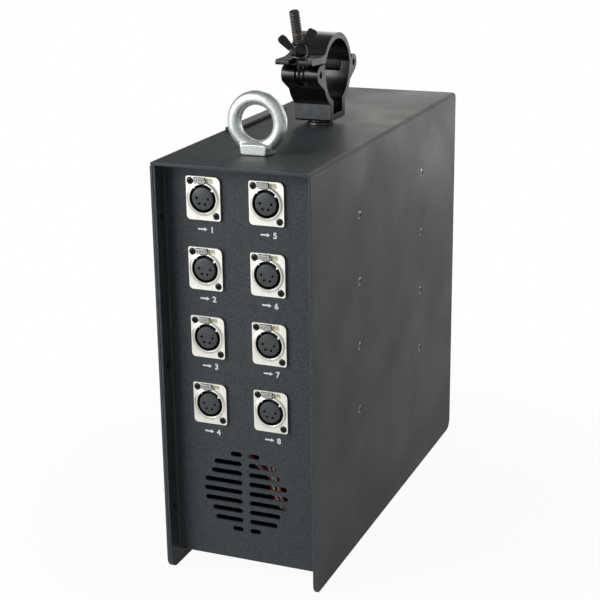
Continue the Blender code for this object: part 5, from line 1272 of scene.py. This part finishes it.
# Painted highlight: the washer's outer rim takes the bright finish.
for face in washer.data.polygons:
    face.material_index = 1 if math.hypot(face.center.x, face.center.y) > WASHER_RIM else 0
washer.matrix_world = bolt_frame @ Matrix.Translation((0, 0, NUT_SEAT))
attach(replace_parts(washer, "wing_washer"), "nut_washer")
print("wing nut and washer at", round((NUT_SEAT + NUT_WASHER) * 1000, 1), "mm up the bolt")

# %% [markdown]
# The lifting eye is a forging: a ring of round stock on a collar, plated bright zinc. A torus, a
# turned collar and a shank are melted together as the nut was. The collar first gets a flat on its
# front, cut with a plane: a smooth, upright face that catches the light from the front.

# %% The lifting eye
EYE_Y = -0.120
EYE_RING = 0.0175
EYE_STOCK = 0.005
EYE_RISE = 0.0222
EYE_COLLAR = 0.0125
EYE_COLLAR_TOP = 0.0079
EYE_FLAT = 0.0086
EYE_SHANK = (0.0048, 0.014)
EYE_VOXEL = 0.00045


def torus_mesh(name, ring, stock, place):
    """A ring of round stock, turned from a circle beside the axis."""
    circle = arc(ring, 0, stock, 0, 360, 32)[:-1]
    return turned(name, circle + circle[:1], 96, place)


def cut_flat(mesh, distance):
    """Takes off what lies further in front than a distance and closes the cut with a flat face."""
    shape = bmesh.new()
    shape.from_mesh(mesh)
    everything = shape.verts[:] + shape.edges[:] + shape.faces[:]
    cut = bmesh.ops.bisect_plane(
        shape, geom=everything, plane_co=(0, -distance, 0), plane_no=(0, -1, 0), clear_outer=True
    )
    rim = [part for part in cut["geom_cut"] if isinstance(part, bmesh.types.BMEdge)]
    bmesh.ops.holes_fill(shape, edges=rim)
    shape.to_mesh(mesh)
    shape.free()


ring = torus_mesh("ring", EYE_RING, EYE_STOCK, Matrix.Translation((0, 0, EYE_RISE)) @ FACING_FRONT)
collar = turned("collar", [
    (0, SEAM), (EYE_COLLAR - 0.0006, SEAM), (EYE_COLLAR, SEAM + 0.0006),
    (EYE_COLLAR + 0.0006, EYE_COLLAR_TOP - 0.0018), (EYE_COLLAR + 0.0003, EYE_COLLAR_TOP - 0.0010),
    (EYE_COLLAR - 0.0006, EYE_COLLAR_TOP - 0.0005), (0, EYE_COLLAR_TOP + 0.0008),
], ROUND)
cut_flat(collar, EYE_FLAT)
radius, length = EYE_SHANK
shank = turned("shank", [(0, -length), (radius, -length), (radius, 0.002), (0, 0.002)], 40)
eye = melted("forged_lifting_eye", [ring, collar, shank], EYE_VOXEL, 4, bright_zinc)
eye.location = (0, EYE_Y, TOP)
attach(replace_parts(eye, "lifting_eye"), "box")
print("lifting eye", round((EYE_RING + EYE_STOCK) * 2000, 1), "mm across")

# %% [markdown]
# Under the clamp sit a flat washer and a split spring washer, and a hexagon bolt goes down through
# its channel into the box. Punched washers have rounded rims, where the plating is rubbed to bright
# metal and the light catches, so the faces of those corners take a bright finish, partly wear and
# partly a painted highlight, and the rest stays worn. The pins of the two hinges are short rods
# that end just inside the knuckles.

# %% The clamp's bolt, washers and pins
BOLT_HEAD = (0.0086, 0.006)
HEAD_EDGE = 0.0005
MOUNT_SHANK = (0.0048, 0.012)
FLAT_WASHER = (0.0104, 0.0019)
SPRING_WASHER = (0.0088, 0.0017)
WASHER_BORE = 0.0051
WASHER_EDGE = 0.0003
SPLIT = 0.0012
PIN = (0.0026, 0.0139)

worn_steel = plated(
    "worn_steel", (0.30, 0.30, 0.29), (0.06, 0.06, 0.06), 0.002, 0.22, 0.40, 0.0006, 0.00003
)


def washer_ring(name, outer, low, high):
    """A washer with its rims rounded off."""
    inner = WASHER_BORE
    edge = WASHER_EDGE
    return turned_piece(name, [
        (inner, low), (outer - edge, low), (outer, low + edge), (outer, high - edge),
        (outer - edge, high), (inner + edge, high), (inner, high - edge), (inner, low),
    ], ROUND, finishes=(worn_steel,))


def polish_rim(piece, outer):
    """The rounded corners at the outer rim take the bright finish, a painted highlight over rubbed metal;
    the rest stays worn.
    """
    piece.data.materials.append(rubbed_highlight_rim)
    for face in piece.data.polygons:
        x, y, z = face.center
        sloped = 0.2 < abs(face.normal.z) < 0.95
        face.material_index = 1 if sloped and math.hypot(x, y) > outer - 0.0006 else 0


flat_low = SEAM
flat_high = flat_low + FLAT_WASHER[1]
spring_low = flat_high + SEAM
flat_washer = washer_ring("flat_washer", FLAT_WASHER[0], flat_low, flat_high)
spring_high = spring_low + SPRING_WASHER[1]
spring_washer = washer_ring("split_washer", SPRING_WASHER[0], spring_low, spring_high)
polish_rim(flat_washer, FLAT_WASHER[0])
polish_rim(spring_washer, SPRING_WASHER[0])
split_low = (-SPLIT / 2, -0.012, spring_low - CUT_PAST)
carve(spring_washer, block("split", split_low, (SPLIT / 2, 0, spring_low + 0.004)))
head_low = CHANNEL_FLOOR + SEAM
hexagon = arc(0, 0, BOLT_HEAD[0], 0, 300, 5)
head_high = head_low + BOLT_HEAD[1]
head = cut_piece("hexagon_head", hexagon, head_low, head_high, finishes=(worn_steel,))
round_edges(head, HEAD_EDGE)
radius, length = MOUNT_SHANK
shank = turned_piece("bolt_shank", [
    (0, -length), (radius - 0.0008, -length), (radius, -length + 0.0008),
    (radius, head_low + 0.001), (0, head_low + 0.001),
], 40, finishes=(worn_steel,))
for piece, name in (
    (flat_washer, "clamp_washer"),
    (spring_washer, "clamp_spring_washer"),
    (head, "clamp_bolt"),
    (shank, "clamp_bolt"),
):
    piece.location = (0, CLAMP_Y, TOP)
    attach(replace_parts(piece, name), "box")
for name, side, body in (("swing_bolt_pin", -PIN_SIDE, "clamp"), ("jaw_hinge_pin", PIN_SIDE, "clamp")):
    radius, half = PIN
    end = [(0.0010, half - 0.0005), (0.0013, half), (radius - 0.0005, half), (radius, half - 0.0005)]
    profile = [(0, 0.0005 - half)] + [(r, -h) for r, h in end] + end[::-1] + [(0, half - 0.0005)]
    pin = turned_piece(name + "_rod", profile, 32, ALONG_X, (black_oxide,))
    pin.location = (0, CLAMP_Y + side, TOP + PIN_RISE)
    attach(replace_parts(pin, name), body)
print("washers", round(FLAT_WASHER[0] * 2000, 1), "and", round(SPRING_WASHER[0] * 2000, 1), "mm")

# %% [markdown]
# The cover is screwed to the frame with flush screws: eight along the right side and three on each
# lip of the left side. A countersink is a cone carved into the sheet, and the head sits a little
# below its rim, so that a fine dark ring shows round it. The head's own rim takes a bright finish:
# a painted highlight, partly rubbed metal. After the carving the faces are weighted again, or the
# flat sheet would shade as if it were dented.

# %% Flush screws
FLUSH_HEAD = 0.0029
FLUSH_HOLE = 0.0031
FLUSH_DEPTH = 0.0012
FLUSH_SUNK = 0.0003
SIDE_X = 0.0600
SIDE_PLACES = [(y, z) for y in (-0.0746, 0.0746) for z in (0.262, 0.2115, 0.161, 0.110)]
LIP_X = -0.0562
LIP_HEIGHTS = (0.2728, 0.1613, 0.0498)
LIP_SIDE = 0.1625

flush_screw = cross_screw_mesh("flush_screw", FLUSH_HEAD, 0.00025, 0.0008, 0.55)
# Painted highlight: the outer rim of the head takes the bright finish.
flush_screw.materials.append(rubbed_highlight_rim)
for face in flush_screw.polygons:
    x, y, z = face.center
    face.material_index = 1 if math.hypot(x, z) > FLUSH_HEAD * 0.86 else 0
to_right = Matrix.Rotation(math.radians(90), 4, "Z")


def countersunk(sheet_name, x, places):
    """Sinks flush screws that face +X into a sheet."""
    cones = []
    for y, z in places:
        place = Matrix.Translation((x, y, z)) @ ALONG_X
        cones.append(turned_piece("cone", [
            (0, -FLUSH_DEPTH), (FLUSH_HOLE - 0.0010, -FLUSH_DEPTH), (FLUSH_HOLE, -0.0004),
            (FLUSH_HOLE, CUT_PAST), (0, CUT_PAST),
        ], 32, place))
    sheet = bpy.data.objects[sheet_name]
    sheet.modifiers.clear()
    carve(sheet, *cones)
    smooth_faces(sheet)
    round_edges(sheet, SHEET_EDGE, slot=1)
    flatten_shading(sheet)
    for number, (y, z) in enumerate(places, 1):
        place = Matrix.Translation((x - FLUSH_SUNK, y, z)) @ to_right
        shared(f"{sheet_name}_screw_{number}", flush_screw, place, "box")


countersunk("outer_cover_sheet", SIDE_X, SIDE_PLACES)
countersunk("front_panel_sheet", LIP_X, [(-LIP_SIDE, z) for z in LIP_HEIGHTS])
countersunk("rear_panel_sheet", LIP_X, [(LIP_SIDE, z) for z in LIP_HEIGHTS])
print("flush screws", len(SIDE_PLACES) + 2 * len(LIP_HEIGHTS))

# %% [markdown]
# Through the grille three flat leads show, each a red and a white wire side by side. A wire is a
# small circle swept along a smooth path. The path passes through a few knots that were placed
# against the photograph, with a Catmull-Rom curve between them.

# %% The output leads
WIRE_RADIUS = 0.00093
WIRE_SHIFT = 0.00089
LEAD_KNOTS = {
    1: (
        (-0.0255, -0.1296, 0.1342), (-0.0253, -0.1221, 0.1332), (-0.0220, -0.1191, 0.1202),
        (-0.0090, -0.1193, 0.0960), (0.0033, -0.1203, 0.0717), (0.0064, -0.1203, 0.0553),
        (0.0086, -0.1200, 0.0474), (0.0117, -0.1183, 0.0395), (0.0139, -0.1113, 0.0328),
        (0.0142, -0.1003, 0.0294), (0.0142, -0.0893, 0.0290),
    ),
    2: (
        (0.0223, -0.1296, 0.1342), (0.0221, -0.1221, 0.1332), (0.0193, -0.1191, 0.1202),
        (0.0115, -0.1193, 0.0970), (0.0083, -0.1203, 0.0725), (0.0118, -0.1203, 0.0562),
        (0.0139, -0.1200, 0.0483), (0.0166, -0.1183, 0.0400), (0.0189, -0.1113, 0.0330),
        (0.0192, -0.1003, 0.0294), (0.0192, -0.0893, 0.0290),
    ),
    3: (
        (-0.0255, -0.1296, 0.1851), (-0.0256, -0.1211, 0.1841), (-0.0270, -0.1166, 0.1711),
        (-0.0279, -0.1156, 0.1451), (-0.0234, -0.1181, 0.1051), (-0.0125, -0.1203, 0.0808),
        (-0.0008, -0.1197, 0.0694), (0.0030, -0.1141, 0.0600), (0.0038, -0.1118, 0.0510),
        (0.0058, -0.1083, 0.0405), (0.0086, -0.1013, 0.0320), (0.0092, -0.0893, 0.0290),
    ),
}


def smooth_path(points, steps):
    """A Catmull-Rom curve through the points, with so many steps between two of them."""
    knots = [Vector(point) for point in points]
    knots = [2 * knots[0] - knots[1]] + knots + [2 * knots[-1] - knots[-2]]
    path = []
    for a, b, c, d in zip(knots, knots[1:], knots[2:], knots[3:]):
        for i in range(steps):
            t = i / steps
            point = 2 * b + (c - a) * t
            point += (2 * a - 5 * b + 4 * c - d) * t ** 2
            point += (3 * b - a - 3 * c + d) * t ** 3
            path.append(0.5 * point)
    return path + [knots[-2]]


def wire_mesh(name, path, shift, radius, count=14):
    """A round wire beside a path, shifted across it."""
    shape = bmesh.new()
    rings = []
    for i, place in enumerate(path):
        along = (path[min(i + 1, len(path) - 1)] - path[max(i - 1, 0)]).normalized()
        side = (Vector((1, 0, 0)) - along * along.x).normalized()
        facing = along.cross(side)
        ring = []
        for k in range(count):
            turn = math.tau * k / count
            spot = place + side * (shift + radius * math.cos(turn)) + facing * radius * math.sin(turn)
            ring.append(shape.verts.new(spot))
        rings.append(ring)
    skin(shape, rings)
    bmesh.ops.recalc_face_normals(shape, faces=shape.faces)
    return finished(shape, name)


red_wire = moulded("red_wire", (0.62, 0.030, 0.035), (0.78, 0.050, 0.055), 0.30)
white_wire = moulded("white_wire", (0.86, 0.86, 0.82), (0.92, 0.92, 0.90), 0.30)
for number, knots in LEAD_KNOTS.items():
    path = smooth_path(knots, 6)
    left, right = (red_wire, white_wire) if number == 1 else (white_wire, red_wire)
    for word, shift, finish in (("left", -WIRE_SHIFT, left), ("right", WIRE_SHIFT, right)):
        name = f"{word}_wire_of_lead_{number}"
        wire = add_piece(name, wire_mesh(name, path, shift, WIRE_RADIUS), finish)
        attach(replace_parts(wire, f"output_lead_{number}"), "box")
print("leads", len(LEAD_KNOTS))

# %% [markdown]
# The pieces inside and at the rear already have their real shape in the solid model, down to wells
# and steps, so each is copied, its edges are rounded as moulded or folded edges are, and it gets
# its finish. The rubber strip on the top is black, and where it faces up it gets a paler finish, a
# painted sheen for the light that its top reflects. The power supplies are in perforated
# galvanised cases: the holes are a Voronoi pattern without randomness, painted black, a painted
# shade for the dark inside of the case. On the driver board the finish goes by height: posts,
# green laminate, then black parts, and bright tops on the tall capacitors.

# %% Pieces that keep their solid's shape
BOARD = (0.0218, 0.0234, 0.0350)
HOLE_PITCH = 0.006


def dress(name, body, width, slot, *finishes):
    """A copy of a solid with rounded edges and its finish, in the solid's place."""
    piece = plain_copy(name + "_dressed", nodes[name])
    for finish in finishes:
        piece.data.materials.append(finish)
    smooth_faces(piece)
    round_edges(piece, width)
    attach(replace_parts(piece, name), body)
    return piece


def height_steps(tree, steps):
    """Colours that change at the given heights of the piece."""
    split = node(tree, "ShaderNodeSeparateXYZ")
    tree.links.new(on_the_piece(tree), split.inputs[0])
    colour = None
    for height, below, above in steps:
        over = spread(tree, split.outputs["Z"], height - 0.00002, height + 0.00002)
        mixed = tint(tree, over, below, above)
        if colour:
            tree.links.new(colour, mixed.node.inputs[6])
        colour = mixed
    return colour


soft_rubber = moulded("soft_rubber", (0.012, 0.012, 0.013), (0.022, 0.022, 0.023), 0.50)
sheen_top_rubber = moulded("sheen_top_rubber", (0.17, 0.17, 0.155), (0.24, 0.24, 0.22), 0.50)
glossy_black = moulded("glossy_black", (0.010, 0.010, 0.010), (0.018, 0.018, 0.018), 0.28)
satin_black = moulded("satin_black", (0.014, 0.014, 0.015), (0.024, 0.024, 0.025), 0.42)
button_grey = moulded("button_grey", (0.085, 0.085, 0.090), (0.125, 0.125, 0.130), 0.40)

case_metal, tree, shader = surface("case_metal", (0.6, 0.61, 0.62), 0.35, 1.0)
holes = node(tree, "ShaderNodeTexVoronoi")
holes.inputs["Scale"].default_value = 1 / HOLE_PITCH
holes.inputs["Randomness"].default_value = 0
tree.links.new(on_the_piece(tree), holes.inputs["Vector"])
# Painted shade: the holes are coloured black, for the dark inside of the case.
solid_part = spread(tree, holes.outputs["Distance"], 0.38, 0.44)
punched = tint(tree, solid_part, (0.01, 0.01, 0.01), (0.52, 0.54, 0.55))
tree.links.new(punched, shader.inputs["Base Color"])
uneven(tree, shader, 0.006, 3.0, 0.25, 0.50)
relief(tree, shader, solid_part, 0.0003)

board_finish, tree, shader = surface("board_finish", (0.02, 0.12, 0.05), 0.4)
stepped = height_steps(tree, (
    (BOARD[0], (0.45, 0.36, 0.14), (0.015, 0.095, 0.040)),
    (BOARD[1] + 0.0001, (0.0, 0.0, 0.0), (0.016, 0.016, 0.017)),
    (BOARD[2], (0.0, 0.0, 0.0), (0.50, 0.51, 0.52)),
))
tree.links.new(stepped, shader.inputs["Base Color"])
uneven(tree, shader, 0.002, 2.0, 0.30, 0.45)
tracks = spread(tree, grain(tree, 0.0015, 0.0, (1, 0.2, 1)), 0.48, 0.52)
relief(tree, shader, tracks, 0.00005)

PLAIN_PIECES = (
    ("top_strip", 0.0004, "strip_rubber", soft_rubber),
    ("fan_frame", 0.0005, "black_plastic", satin_black),
    ("lower_power_supply", 0.0006, "supply_case", case_metal),
    ("upper_power_supply", 0.0006, "supply_case", case_metal),
    ("driver_board", 0.0002, "board_laminate", board_finish),
    ("mains_inlet", 0.0005, "black_plastic", satin_black),
    ("switch_frame", 0.0003, "black_plastic", glossy_black),
    ("data_input", 0.0003, "nickel_plate", satin_nickel),
    ("display_module", 0.0003, "black_plastic", glossy_black),
)
for name, width, slot, finish in PLAIN_PIECES:
    dress(name, "box", width, slot, finish)
# Painted sheen: the strip's upward faces take a paler finish for the light their top reflects.
strip = bpy.data.objects["top_strip_dressed"].data
strip.materials.append(sheen_top_rubber)
for face in strip.polygons:
    face.material_index = 1 if face.normal.z > 0.9 else 0
dress("fan_rotor", "rotor", 0.0003, "black_plastic", satin_black)
dress("switch_rocker", "rocker", 0.0004, "black_plastic", glossy_black)
dress("fuse_drawer", "drawer", 0.0003, "black_plastic", satin_black)
for number in range(1, 5):
    dress(f"menu_button_{number}", f"button_{number}", 0.0004, "button_plastic", button_grey)
print("pieces dressed in their own shape", len(PLAIN_PIECES) + 7)

# %% [markdown]
# The second data socket at the rear is the same socket as the eight in front, so it shares their
# meshes and is only turned round to face the rear. A mesh that several objects share costs nothing
# more, and a mend to it shows on all of them.

# %% The rear data output
REAR_SOCKET = (-0.0235, 0.1563, 0.2000)
turned_round = Matrix.Translation(REAR_SOCKET) @ Matrix.Rotation(math.radians(180), 4, "Z")
for word, mesh, slot in (
    ("shell", housing, "nickel_plate"),
    ("carrier", carrier, "insert_plastic"),
    ("latch", latch, "latch_metal"),
):
    piece = shared(f"rear_output_{word}", mesh, turned_round, "box")
    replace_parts(piece, "data_output")
shared("rear_output_sleeves", sleeves, turned_round, "box")
shared("rear_output_keys", keys, turned_round, "box")
for side, (x, z) in enumerate(FLANGE_SCREWS, 1):
    place = turned_round @ Matrix.Translation((x, FACE + 0.0001, z))
    shared(f"rear_output_screw_{side}", flange_screw, place, "box")
print("rear output at", REAR_SOCKET)
